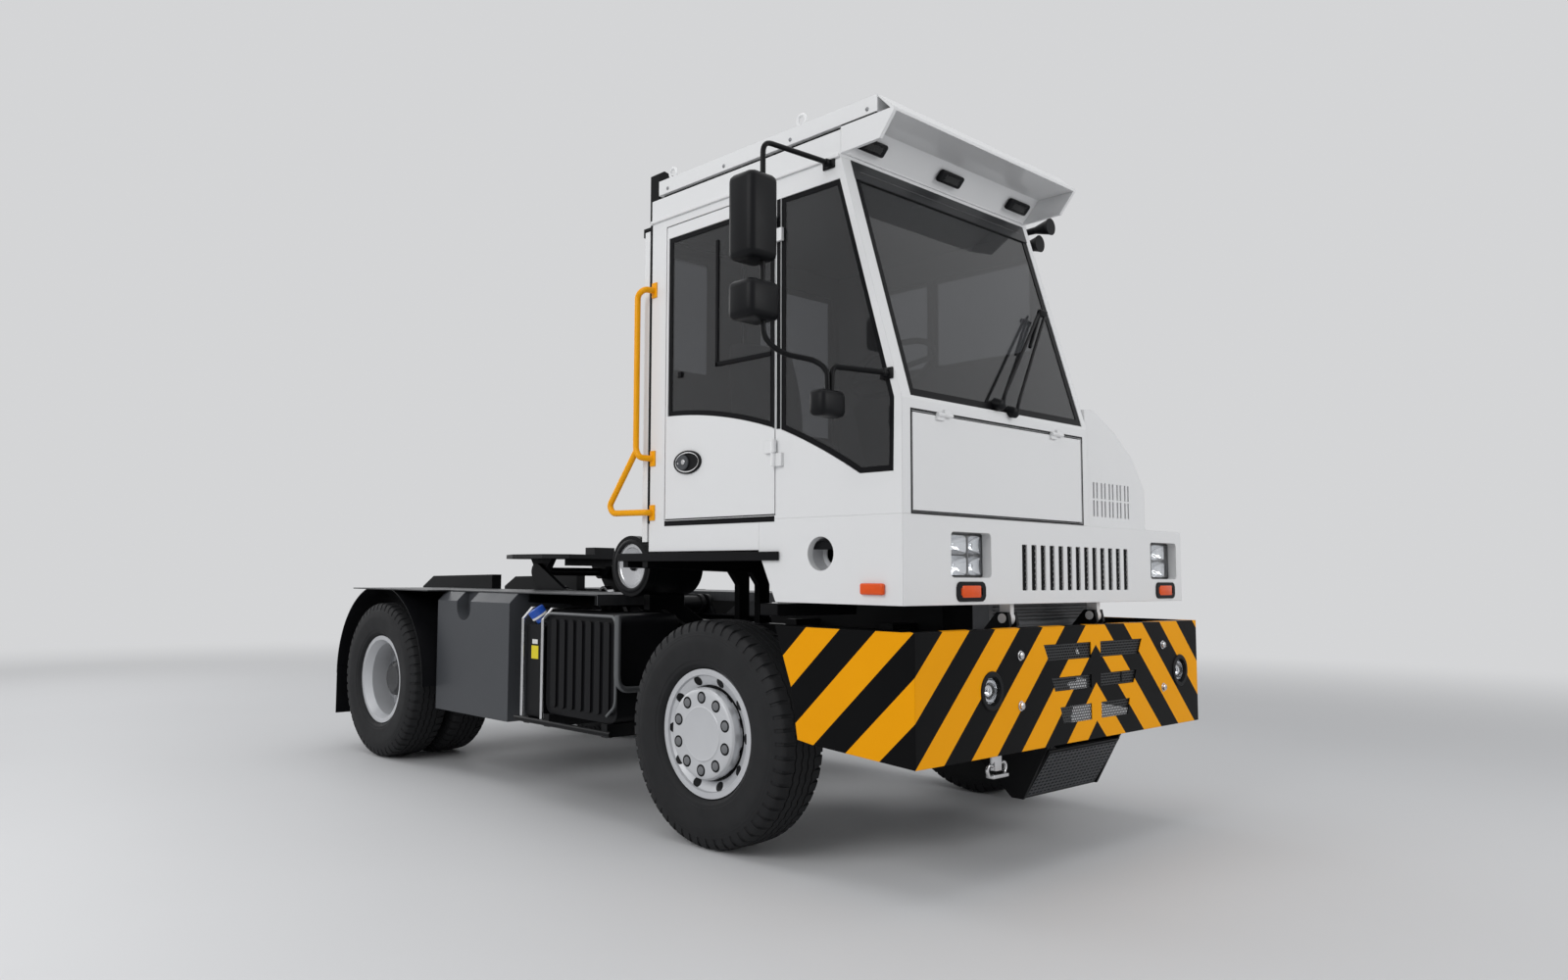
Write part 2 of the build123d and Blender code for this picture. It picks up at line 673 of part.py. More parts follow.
screen_tilt = atan2(screen_lean, screen_rise)
screen_plane = Plane(origin=(0, cab_front, screen_bottom), x_dir=(1, 0, 0),
                     z_dir=(0, -cos(screen_tilt), sin(screen_tilt)))
screen_left, screen_right = 205, -1170
screen_low = 16
screen_high = (cab_roof - screen_bottom) / cos(screen_tilt) - 60.5
glass_top = cab_roof - 97
quarter_low = cab_shelf + 175
hatch_low, hatch_high, hatch_right, hatch_left = cab_shelf + 11, screen_bottom - 47, -1170, 185
rear_gate = (-1170, -570, 1500, cab_roof - 68)
rear_pane = (-470, 170, 2080, cab_roof - 158)
left_panes = ((-905, -288, 2440, cab_roof - 170), (-262, 60, 2440, cab_roof - 170))


def quarter_pane():
    """Outline of the pane between the side door and the windscreen, with its curved belt line."""
    with BuildSketch() as outline:
        with BuildLine():
            belt = ThreePointArc((-508, quarter_low + 229), (-738, quarter_low + 125), (-964, quarter_low))
            Polyline(belt @ 1, (-1140, quarter_low), (-1146, screen_bottom + 4),
                     (screen_y(glass_top) + 34, glass_top), (-508, glass_top), belt @ 0)
        make_face()
    return outline.sketch


pane_corner = 30
with BuildPart() as cab_shell:
    with BuildSketch(aside(-cab_half)):
        with BuildLine():
            Polyline((cab_front, cab_shelf), (cab_front, screen_bottom), (screen_y(cab_roof), cab_roof),
                     (cab_rear, cab_roof), (cab_rear, cab_floor), (lower_rear_top, cab_floor),
                     (lower_rear_top, cab_shelf), close=True)
        make_face()
    extrude(amount=cab_half + cab_left)
    with BuildSketch(aside(-cab_half + cab_skin)):
        inner_front = cab_front + cab_skin
        with BuildLine():
            Polyline((inner_front, 0), (inner_front, screen_bottom),
                     (screen_y(cab_roof - cab_skin) + cab_skin, cab_roof - cab_skin),
                     (cab_rear - cab_skin, cab_roof - cab_skin), (cab_rear - cab_skin, 0), close=True)
        make_face()
    extrude(amount=cab_half + cab_left - 2 * cab_skin, mode=Mode.SUBTRACT)
    with BuildSketch(screen_plane):
        with BuildLine():
            Polyline((screen_right, screen_low), (screen_left, screen_low), (screen_left, screen_high),
                     (screen_right, screen_high), close=True)
        make_face()
    extrude(amount=80, both=True, mode=Mode.SUBTRACT)
    with BuildSketch(aside(-cab_half)):
        with BuildLine():
            Polyline((door_front, door_bottom), (door_front, door_top), (door_rear, door_top),
                     (door_rear, door_bottom), close=True)
        make_face()
        add(quarter_pane())
    extrude(amount=cab_skin, mode=Mode.SUBTRACT)
    with BuildSketch(aside(cab_left - cab_skin)):
        for y0, y1, z0, z1 in left_panes:
            with Locations(((y0 + y1) / 2, (z0 + z1) / 2)):
                RectangleRounded(y1 - y0, z1 - z0, pane_corner)
    extrude(amount=cab_skin, mode=Mode.SUBTRACT)
    with BuildSketch(across(cab_rear)):
        for x0, x1, z0, z1 in (rear_gate, rear_pane):
            with Locations(((x0 + x1) / 2, (z0 + z1) / 2)):
                Rectangle(x1 - x0, z1 - z0)
    extrude(amount=cab_skin, mode=Mode.SUBTRACT)
    with BuildSketch(across(cab_front + cab_skin)):
        with Locations(((hatch_left + hatch_right) / 2, (hatch_low + hatch_high) / 2)):
            Rectangle(hatch_left - hatch_right, hatch_high - hatch_low)
    extrude(amount=cab_skin, mode=Mode.SUBTRACT)
    for x in hatch_hinges:
        with Locations((x + 51, cab_front - 5, hatch_axis_z + 12)):
            Box(50, 10, 24)
        with Locations(Location((x + 51, hatch_axis_y, hatch_axis_z), (0, 90, 0))):
            Cylinder(9, 50)
        with Locations(Location((x, hatch_axis_y, hatch_axis_z), (0, 90, 0))):
            Cylinder(4, 54)
    for z in hinge_heights:
        with Locations((-cab_half - 8, hinge_y - 24, z - 30)):
            Box(16, 48, 60)
        with Locations((hinge_x, hinge_y, z - 30)):
            Cylinder(hinge_r, 60)
        with Locations((hinge_x, hinge_y, z + 30)):
            Cylinder(hinge_pin_r, 62)
finish(cab_shell, "cab_shell")

# Floor between the cab's walls
def clear_lamp():
    """Cut the room of the right headlamp, which reaches back into the cab's foot."""
    room, depth = pocket_skin + 10, pocket_depth + lamp_depth + 10
    with Locations((panel_centre - (lamp_in + lamp_out) / 2, cab_front + depth / 2, lamp_mid)):
        Box(lamp_out - lamp_in + 2 * room, depth, lamp_high - lamp_low + 2 * room, mode=Mode.SUBTRACT)

with BuildPart() as cab_floor_panel:
    with BuildSketch(level(cab_floor)):
        with Locations(((cab_left - cab_half) / 2, (cab_front + cab_rear) / 2)):
            Rectangle(cab_left + cab_half - 2 * cab_skin, cab_rear - cab_front - 2 * cab_skin)
    extrude(amount=cab_skin)
    clear_lamp()
finish(cab_floor_panel, "cab_floor_panel")

# Panes: the windscreen, the front quarter pane and the fixed panes, each inside its opening
with BuildPart() as windscreen:
    with BuildSketch(screen_plane.offset(-14)):
        with BuildLine():
            Polyline((screen_right + fit_gap, screen_low + fit_gap), (screen_left - fit_gap, screen_low + fit_gap),
                     (screen_left - fit_gap, screen_high - fit_gap),
                     (screen_right + fit_gap, screen_high - fit_gap), close=True)
        make_face()
    extrude(amount=glass)
finish(windscreen, "windscreen")

with BuildPart() as side_panes:
    with BuildSketch(aside(-cab_half + 6)):
        add(quarter_pane())
        offset(amount=-fit_gap)
    extrude(amount=glass)
    with BuildSketch(aside(cab_left - 6 - glass)):
        for y0, y1, z0, z1 in left_panes:
            with Locations(((y0 + y1) / 2, (z0 + z1) / 2)):
                RectangleRounded(y1 - y0 - 2 * fit_gap, z1 - z0 - 2 * fit_gap, pane_corner - fit_gap)
    extrude(amount=glass)
    with BuildSketch(across(cab_rear - 6)):
        with Locations(((rear_pane[0] + rear_pane[1]) / 2, (rear_pane[2] + rear_pane[3]) / 2)):
            Rectangle(rear_pane[1] - rear_pane[0] - 2 * fit_gap, rear_pane[3] - rear_pane[2] - 2 * fit_gap)
    extrude(amount=glass)
finish(side_panes, "side_panes")

# Side door: hinged at its front edge, with its window cut and a flush oval handle
handle_y, handle_z = 121, 1848


def door_window():
    """Outline of the door's window, whose belt line curves down towards the front."""
    with BuildSketch() as outline:
        with BuildLine():
            belt = ThreePointArc((280, 2092), (-61, 2060), (-462, 1964))
            Polyline(belt @ 1, (-462, cab_roof - 108), (280, cab_roof - 108), belt @ 0)
        make_face()
    return outline.sketch


with BuildPart() as side_door:
    with BuildSketch(aside(-cab_half)):
        with BuildLine():
            Polyline((door_front + seam, door_bottom + seam), (door_front + seam, door_top - seam),
                     (door_rear - seam, door_top - seam), (door_rear - seam, door_bottom + seam), close=True)
        make_face()
    extrude(amount=cab_skin)
    with BuildSketch(aside(-cab_half)):
        add(door_window())
    extrude(amount=cab_skin, mode=Mode.SUBTRACT)
    for z in hinge_heights:
        with Locations((-cab_half - 8, door_front + 30, z + 32)):
            Box(16, 56, 60)
        with Locations((hinge_x, hinge_y, z + 32)):
            Cylinder(hinge_r, 60)
            Cylinder(hinge_pin_r + running, 60, mode=Mode.SUBTRACT)
    with BuildSketch(aside(-cab_half - 10)):
        with Locations((handle_y, handle_z)):
            Ellipse(98, 57)
            Ellipse(84, 45, mode=Mode.SUBTRACT)
    extrude(amount=10)
finish(side_door, "side_door")

with BuildPart() as door_pane:
    with BuildSketch(aside(-cab_half + 8)):
        add(door_window())
        offset(amount=-fit_gap)
    extrude(amount=glass)
finish(door_pane, "door_pane")

# Rear door: slides sideways behind the rear wall on two rails
gate_skin = 40
gate_y = cab_rear + 14
gate_x0, gate_x1, gate_z0, gate_z1 = -cab_half, -530, 1460, cab_roof - 33
gate_pane_z = cab_roof - 558
with BuildPart() as rear_door:
    with BuildSketch(across(gate_y + gate_skin)):
        with Locations(((gate_x0 + gate_x1) / 2, (gate_z0 + gate_z1) / 2)):
            Rectangle(gate_x1 - gate_x0, gate_z1 - gate_z0)
        with Locations(((gate_x0 + gate_x1) / 2, gate_pane_z)):
            RectangleRounded(gate_x1 - gate_x0 - 160, 840, 50, mode=Mode.SUBTRACT)
        for x in (gate_x0 + 80, gate_x1 - 80):
            with Locations((x, (gate_z0 + gate_z1) / 2)):
                Rectangle(90, gate_z1 - gate_z0 + 2 * (6 - fit_gap))
            with Locations((x, gate_pane_z)):
                Rectangle(90, 840, mode=Mode.SUBTRACT)
    extrude(amount=gate_skin)
finish(rear_door, "rear_door")

with BuildPart() as rear_door_pane:
    with BuildSketch(across(gate_y + gate_skin - 16)):
        with Locations(((gate_x0 + gate_x1) / 2, gate_pane_z)):
            RectangleRounded(gate_x1 - gate_x0 - 160 - 2 * fit_gap, 840 - 2 * fit_gap, 50 - fit_gap)
    extrude(amount=glass)
finish(rear_door_pane, "rear_door_pane")

bracket_deep = 70
with BuildPart() as rear_door_rails:
    for z0, z1, lip in ((gate_z0 - 22, gate_z0 - 6, gate_z0 + 24), (gate_z1 + 6, gate_z1 + 22, gate_z1 - 24)):
        with BuildSketch(aside(-cab_half)):
            with Locations(((cab_rear + gate_y + gate_skin + 14) / 2, (z0 + z1) / 2)):
                Rectangle(gate_y + gate_skin + 14 - cab_rear, z1 - z0)
            with Locations((gate_y + gate_skin + 10, (min(z0, lip) + max(z1, lip)) / 2)):
                Rectangle(8, max(z1, lip) - min(z0, lip))
        extrude(amount=cab_half + cab_left)
    # Lamp bracket that stands up behind the roof
    with BuildSketch(across(cab_rear + bracket_deep)):
        with BuildLine():
            Polyline((-1190, cab_roof + 30), (-1190, cab_roof + 285), (-1155, cab_roof + 307),
                     (-1035, cab_roof + 285), (-1035, cab_roof + 180), (-1110, cab_roof + 30), close=True)
        make_face()
    extrude(amount=bracket_deep)
finish(rear_door_rails, "rear_door_rails")

# Front hatch under the windscreen, hinged along its top edge
with BuildPart() as front_hatch:
    with BuildSketch(across(cab_front + cab_skin)):
        with Locations(((hatch_left + hatch_right) / 2, (hatch_low + hatch_high) / 2)):
            Rectangle(hatch_left - hatch_right - 2 * seam, hatch_high - hatch_low - 2 * seam)
    extrude(amount=cab_skin)
    for x in hatch_hinges:
        with Locations((x, cab_front - 5, hatch_axis_z - 12)):
            Box(50, 10, 24)
        with Locations(Location((x, hatch_axis_y, hatch_axis_z), (0, 90, 0))):
            Cylinder(9, 50)
            Cylinder(4 + running, 50, mode=Mode.SUBTRACT)
finish(front_hatch, "front_hatch")

# Roof: a cap over an inset frame, and the visor with its cheeks
cap_front, cap_rear, cap_low, cap_top = -1066, 370, cab_roof + 140, cab_roof + 215
frame_top = cap_low - 20
eye_r, eye_wire = 25, 6.5
with BuildPart() as roof_frame:
    with BuildSketch(level(cab_roof)):
        with Locations(((cab_left - cab_half) / 2, (screen_y(cab_roof) + cab_rear) / 2)):
            Rectangle(cab_left + cab_half, cab_rear - screen_y(cab_roof))
            Rectangle(cab_left + cab_half - 120, cab_rear - screen_y(cab_roof) - 120, mode=Mode.SUBTRACT)
    extrude(amount=frame_top - cab_roof)
    with BuildSketch(level(frame_top)):
        with Locations(((cab_left - cab_half) / 2, (screen_y(cab_roof) + cap_rear) / 2)):
            Rectangle(cab_left + cab_half - 50, cap_rear - screen_y(cab_roof) - 50)
            Rectangle(cab_left + cab_half - 120, cap_rear - screen_y(cab_roof) - 120, mode=Mode.SUBTRACT)
    extrude(amount=cap_low - frame_top)
finish(roof_frame, "roof_frame")

with BuildPart() as roof_cap:
    with BuildSketch(level(cap_low)):
        with Locations(((cab_left - cab_half) / 2, (cap_front + cap_rear) / 2)):
            RectangleRounded(cab_left + cab_half, cap_rear - cap_front, 6)
    extrude(amount=cap_top - cap_low)
    with Locations([(x, y, cap_top) for x in (-1195, 205) for y in (-600, 300)]):
        Cylinder(10, 24)
        with Locations(Location((0, 0, 8 + eye_r + eye_wire), (0, 90, 0))):
            Torus(eye_r, eye_wire)
finish(roof_cap, "roof_cap")

visor_tip, visor_tip_z, visor_left = -1155, cab_roof + 118, 228
visor_top = visor_tip_z + 14
soffit_y = -961
soffit_rear = screen_y(cab_roof) - 8
with BuildPart() as visor:
    profile = ((visor_tip, visor_tip_z), (visor_tip, visor_top), (screen_y(cab_roof) - fit_gap, visor_top),
               (screen_y(cab_roof) - fit_gap, cab_roof + 14), (-1077, cab_roof + 18))
    with BuildSketch(aside(-cab_half)):
        with BuildLine():
            Polyline(*profile, close=True)
        make_face()
    extrude(amount=cab_half + visor_left)
    with BuildSketch(aside(-cab_half + 18)):
        with BuildLine():
            Polyline((visor_tip - 10, visor_tip_z), (soffit_y, visor_tip_z), (soffit_rear, cab_roof + 20),
                     (soffit_rear, cab_roof - 10), (visor_tip - 10, cab_roof - 10), close=True)
        make_face()
    extrude(amount=cab_half + visor_left - 36, mode=Mode.SUBTRACT)
    # Sloping plate from the lip up to the cap, open at both ends
    with BuildSketch(aside(-cab_half)):
        with BuildLine():
            Polyline((visor_tip, visor_top - 6), (visor_tip, visor_top), (cap_front - 3, cap_top - 2),
                     (cap_front - 3, cap_top - 12), (visor_tip + 14, visor_top - 6), close=True)
        make_face()
    extrude(amount=cab_half + visor_left)
finish(visor, "visor")

# Marker lamps on the sloping face under the visor
soffit_slope = atan2(visor_tip_z - cab_roof - 20, soffit_rear - soffit_y)
with BuildPart() as marker_lamps:
    for x in (-1095, -515, 65):
        lamp_seat = Plane(origin=(x, (soffit_y + soffit_rear) / 2, (visor_tip_z + cab_roof + 20) / 2),
                          x_dir=(1, 0, 0), z_dir=(0, -sin(soffit_slope), -cos(soffit_slope)))
        with BuildSketch(lamp_seat.offset(fit_gap)):
            RectangleRounded(180, 62, 20)
        extrude(amount=28)
finish(marker_lamps, "marker_lamps")

# Engine cover: a hollow hood beside the cab with a stepped side and louvres in front
hood_front, hood_rear = -1168, 300
hood_skin = 14
hood_low = 1345
hood_x0, hood_x1 = cab_left + 6, 860
hood_outline = ((hood_x0, cab_shelf), (hood_x0, cab_shelf + 581), (338, cab_shelf + 585), (548, cab_shelf + 490),
                (736, cab_shelf + 367), (hood_x1, cab_shelf + 209), (hood_x1, cab_shelf))
louvre_x, louvre_z = 506, cab_shelf + 138
with BuildPart() as engine_cover:
    with BuildSketch(across(hood_rear)):
        with BuildLine():
            Polyline(*hood_outline, close=True)
        make_face()
    extrude(amount=hood_rear - hood_front)
    with BuildSketch(across(hood_rear)):
        with Locations(((hood_x0 + hood_x1) / 2, (hood_low + cab_shelf) / 2)):
            Rectangle(hood_x1 - hood_x0, cab_shelf - hood_low)
    extrude(amount=hood_rear - lower_rear_top - 4)
    with BuildSketch(across(hood_rear - hood_skin)):
        with BuildLine():
            Polyline(*hood_outline, close=True)
        make_face()
        offset(amount=-hood_skin)
        with Locations(((hood_x0 + hood_x1) / 2, hood_low + 120)):
            Rectangle(hood_x1 - hood_x0 - 2 * hood_skin, 300)
    extrude(amount=hood_rear - hood_front - 2 * hood_skin, mode=Mode.SUBTRACT)
    with BuildSketch(across(hood_front + hood_skin)):
        with Locations((louvre_x, louvre_z)):
            with GridLocations(80, 90, 5, 2):
                with Locations((-17, 0), (17, 0)):
                    Rectangle(14, 80)
    extrude(amount=hood_skin, mode=Mode.SUBTRACT)
finish(engine_cover, "engine_cover")

# Front lamps: headlamp units and indicators set in the front panel, fog lamps in the bumper
with BuildPart() as headlamps:
    with BuildSketch(across(cab_front + pocket_depth)):
        for side in (-1, 1):
            with Locations((panel_centre + side * (lamp_in + lamp_out) / 2, lamp_mid)):
                RectangleRounded(lamp_out - lamp_in + 2 * pocket_skin, lamp_high - lamp_low + 2 * pocket_skin,
                                 lamp_corner + pocket_skin)
    extrude(amount=-lamp_depth)
    bowl_r, bowl_spread, bowl_depth = 40, 46, 24
    with BuildSketch(across(cab_front + pocket_depth)):
        for side in (-1, 1):
            with Locations((panel_centre + side * (lamp_in + lamp_out) / 2 - 32, lamp_mid)):
                with GridLocations(2 * bowl_spread, 2 * bowl_spread, 2, 2):
                    Circle(bowl_r)
    extrude(amount=-bowl_depth, mode=Mode.SUBTRACT)
finish(headlamps, "headlamps")

with BuildPart() as indicators:
    with BuildSketch(across(cab_front + cab_skin)):
        for side in (-1, 1):
            with Locations((panel_centre + side * (turn_in + turn_out) / 2, turn_mid)):
                RectangleRounded(turn_out - turn_in - 2 * fit_gap, turn_high - turn_low - 2 * fit_gap,
                                 lamp_corner - fit_gap)
    extrude(amount=cab_skin + 6)
    with BuildSketch(aside(-cab_half - 22)):
        with Locations((-1035, 1242)):
            RectangleRounded(123, 50, 10)
    extrude(amount=22)
finish(indicators, "indicators")

with BuildPart() as fog_lamps:
    for side in (-1, 1):
        lamp_plane = Plane(origin=(face_centre + side * fog_spread, front_end, fog_z), x_dir=(1, 0, 0),
                           z_dir=(0, -1, 0))
        with BuildSketch(lamp_plane.offset(-70)):
            Circle(fog_r - 10)
        extrude(amount=67)
        with BuildSketch(lamp_plane.offset(-bumper_skin - 6)):
            Circle(fog_r + 14)
        extrude(amount=6)
finish(fog_lamps, "fog_lamps")

# Step beside and behind the cab: a top plate on the cantilevers with a deep outer edge
with BuildPart() as step_plate:
    with BuildSketch(level(step_top - 40)):
        with Locations((-half_width + 4.5, 78)):
            Rectangle(9, 1162)
    extrude(amount=40)
    with BuildSketch(level(step_top - 40)):
        with Locations(((-half_width + 9 - rail_x + 80) / 2, 530)):
            Rectangle(half_width - 9 - rail_x + 80, 258)
        with Locations((-half_width + 9 + 60, 20)):
            Rectangle(120, 770)
    extrude(amount=32)
finish(step_plate, "step_plate")

# Reservoir lying across behind the cab, with a domed end towards the side
reservoir_y, reservoir_z, reservoir_r, reservoir_x = 860, 1340, 168, -1000
with BuildPart() as reservoir:
    with BuildSketch(Plane((0, reservoir_y, reservoir_z), x_dir=(1, 0, 0), z_dir=(0, -1, 0))):
        with BuildLine():
            Polyline((reservoir_x + 24, 0), (reservoir_x + 30, 110), (reservoir_x + 10, 142), (reservoir_x, 146),
                     (reservoir_x, reservoir_r), (reservoir_x + 50, reservoir_r), (reservoir_x + 50, 158),
                     (-600, 158), (-580, 120), (-570, 0), close=True)
        make_face()
    revolve(axis=Axis((0, reservoir_y, reservoir_z), (1, 0, 0)))
    with BuildSketch(across(reservoir_y + 50)):
        with BuildLine():
            Polyline((-740, 1096), (-rail_x, 930), (-rail_x, 1020), (-600, 1120), (-600, 1230), (-860, 1230),
                     (-860, 1096), close=True)
        make_face()
    extrude(amount=50)
finish(reservoir, "reservoir")

# Tanks between the wheels: a ribbed tank and a slim tank on the right, a plain one on the left
tank_x0, tank_x1 = -1200, -760
tank_z0, tank_z1 = 500, 1076
rib_count = 7
rib_pitch = (tank_y1 - tank_y0 - 86) / rib_count
slim_tank_z, slim_tank_tall = 735, 530
with BuildPart() as side_tanks:
    with BuildSketch(aside(tank_x0 + 12)):
        with Locations(((tank_y0 + tank_y1) / 2, (tank_z0 + tank_z1) / 2)):
            RectangleRounded(tank_y1 - tank_y0, tank_z1 - tank_z0, 60)
    extrude(amount=tank_x1 - tank_x0 - 12)
    with BuildSketch(aside(tank_x0)):
        with Locations(((tank_y0 + tank_y1) / 2, (tank_z0 + tank_z1) / 2)):
            with GridLocations(rib_pitch, 0, rib_count, 1):
                RectangleRounded(rib_pitch - 32, tank_z1 - tank_z0 - 80, 18)
    extrude(amount=12)
    with BuildSketch(aside(tank_x0 + 4)):
        with Locations((slim_tank_y, slim_tank_z)):
            RectangleRounded(180, slim_tank_tall, 24)
    extrude(amount=tank_x1 - tank_x0 - 4)
    with BuildSketch(aside(-tank_x1)):
        with Locations(((tank_y0 + slim_tank_y + 104) / 2, slim_tank_z)):
            RectangleRounded(slim_tank_y + 104 - tank_y0, slim_tank_tall, 90)
    extrude(amount=tank_x1 - tank_x0)
finish(side_tanks, "side_tanks")

cap_plane = Plane(origin=(tank_x0 + 52, slim_tank_y - 6, 1018), x_dir=(0, 1, 0), z_dir=(-0.5, 0.25, 0.83))
with BuildPart() as tank_cap:
    with BuildSketch(cap_plane.offset(3)):
        Circle(36)
    extrude(amount=36)
    with BuildSketch(cap_plane.offset(40)):
        Circle(46)
    extrude(amount=44)
finish(tank_cap, "tank_cap")

# Cradles: an L-bracket under each tank end, with strap tubes and a guard tube outside
cradle_x = 1222
slim_tank_low = slim_tank_z - slim_tank_tall / 2
with BuildPart() as tank_cradles:
    for side in (-1, 1):
        for y, right_seat in ((tank_y0 + 64, tank_z0), (tank_y1 - 56, tank_z0), (slim_tank_y + 44, slim_tank_low)):
            seat_z = right_seat if side < 0 else slim_tank_low
            with BuildSketch(across(y + 25)):
                with BuildLine():
                    Polyline((side * rail_x, 980), (side * rail_x, 430), (side * cradle_x, 430),
                             (side * cradle_x, seat_z), (side * (rail_x + 40), seat_z),
                             (side * (rail_x + 40), 980), close=True)
                make_face()
            extrude(amount=50)
        with BuildSketch(across(slim_tank_y + 154)):
            with Locations((side * cradle_x, 450)):
                Circle(16)
        extrude(amount=slim_tank_y + 150 - tank_y0)
finish(tank_cradles, "tank_cradles")

strap_r = 11
with BuildPart() as tank_straps:
    strap_x = tank_x0 - strap_r - fit_gap
    strap_z = tank_z1 + strap_r + fit_gap
    for y in (tank_y1 + 10, slim_tank_y + 104):
        with BuildLine() as strap_line:
            Polyline((strap_x, y, 466 + fit_gap), (strap_x, y, strap_z - 60), (strap_x + 60, y, strap_z),
                     (-800, y, strap_z))
        with BuildSketch(Plane(origin=(strap_x, y, 466 + fit_gap), z_dir=(0, 0, 1))):
            Circle(strap_r)
        sweep(path=strap_line.line, transition=Transition.RIGHT)
finish(tank_straps, "tank_straps")

# Side boxes under the deck in front of the rear wheels, chamfered at the top, with a notch
box_x, box_z0 = 1150, 395
notch_y, notch_r = box_y0 + round(0.6206 * (box_y1 - box_y0)), 86
box_top = deck_top - deck_skin - fit_gap
with BuildPart() as side_boxes:
    for side in (-1, 1):
        with BuildSketch(across(box_y1)):
            with BuildLine():
                Polyline((side * box_x, box_z0), (side * box_x, 1112), (side * (deck_narrow_x - 3), box_top),
                         (side * 600, box_top), (side * 600, 1000), (side * 500, 900),
                         (side * 500, box_z0), close=True)
            make_face()
        extrude(amount=box_y1 - box_y0)
        with BuildSketch(aside(side * box_x)):
            with Locations((notch_y, 1074)):
                Circle(notch_r)
            with Locations((notch_y, 1174)):
                Rectangle(2 * notch_r, 200)
        extrude(amount=-side * 90, mode=Mode.SUBTRACT)
        for y in (box_y0 + 128, box_y1 - 175):
            with Locations((side * (rail_x + 500) / 2, y, 850)):
                Box(500 - rail_x, 60, 160)
finish(side_boxes, "side_boxes")


# Lifting boom: two gooseneck plates on a pivot tube, joined by cross tubes
boom_half = 330
boom_skin = 30
with BuildPart() as lift_boom:
    for start_x in (-boom_half, boom_half - boom_skin):
        with BuildSketch(aside(start_x)):
            with BuildLine():
                Polyline((boom_y, boom_z + 62), (boom_y + 400, boom_z + 66), (boom_y + 700, boom_z + 90),
                         (coupling_y - 30, coupling_z + 52), (coupling_y + 46, coupling_z + 36),
                         (coupling_y + 60, coupling_z), (coupling_y + 40, coupling_z - 60),
                         (boom_y + 950, boom_z - 30), (boom_y + 810, boom_z - 56), (boom_y, boom_z - 62), close=True)
            make_face()
            with Locations((boom_y, boom_z)):
                Circle(62)
            with Locations((coupling_y, coupling_z)):
                Circle(60)
        extrude(amount=boom_skin)
    with Locations(Location((0, boom_y, boom_z), (0, 90, 0))):
        Cylinder(boom_pin_r, 2 * (rail_x - 10))
        Cylinder(52, 2 * boom_half)
    with Locations(Location((0, boom_y + 600, boom_z + 10), (0, 90, 0))):
        Cylinder(44, 2 * boom_half)
    with Locations(Location((0, coupling_y, coupling_z), (0, 90, 0))):
        Cylinder(coupling_pin_r, 2 * boom_half)
    with Locations(Location((0, lift_head_y, lift_head_z), (0, 90, 0))):
        Cylinder(lift_pin_r, 2 * boom_half)
finish(lift_boom, "lift_boom")

# Lift cylinders: barrels pinned to the frame and rods that reach the boom's lower pin
lift_length = ((lift_head_y - lift_foot_y) ** 2 + (lift_head_z - lift_foot_z) ** 2) ** 0.5
lift_slope = degrees(atan2(lift_head_z - lift_foot_z, lift_head_y - lift_foot_y))
barrel_r, rod_r = 48, 28
eye_play = 14
barrel_length = lift_length - 120
with BuildPart() as lift_barrels:
    for side in (-1, 1):
        foot = Plane(origin=(side * lift_x, lift_foot_y, lift_foot_z), x_dir=(1, 0, 0),
                     z_dir=(0, cos(radians(lift_slope)), sin(radians(lift_slope))))
        with BuildSketch(foot.offset(50)):
            Circle(barrel_r)
            Circle(rod_r + running, mode=Mode.SUBTRACT)
        extrude(amount=barrel_length - 50)
        with BuildSketch(foot.offset(38)):
            Circle(barrel_r)
        extrude(amount=12)
        with BuildSketch(foot):
            Rectangle(58, 70)
        extrude(amount=44)
        with Locations(Location((side * lift_x, lift_foot_y, lift_foot_z), (0, 90, 0))):
            Cylinder(36, 58)
            Cylinder(lift_pin_r, 150)
finish(lift_barrels, "lift_barrels")

with BuildPart() as lift_rods:
    for side in (-1, 1):
        foot = Plane(origin=(side * lift_x, lift_foot_y, lift_foot_z), x_dir=(1, 0, 0),
                     z_dir=(0, cos(radians(lift_slope)), sin(radians(lift_slope))))
        with BuildSketch(foot.offset(250)):
            Circle(rod_r)
        extrude(amount=lift_length - 250 - lift_pin_r - eye_play)
        with Locations(Location((side * lift_x, lift_head_y, lift_head_z), (0, 90, 0))):
            Cylinder(lift_pin_r + eye_play + 18, 60)
            Cylinder(lift_pin_r + eye_play, 60, mode=Mode.SUBTRACT)
finish(lift_rods, "lift_rods")

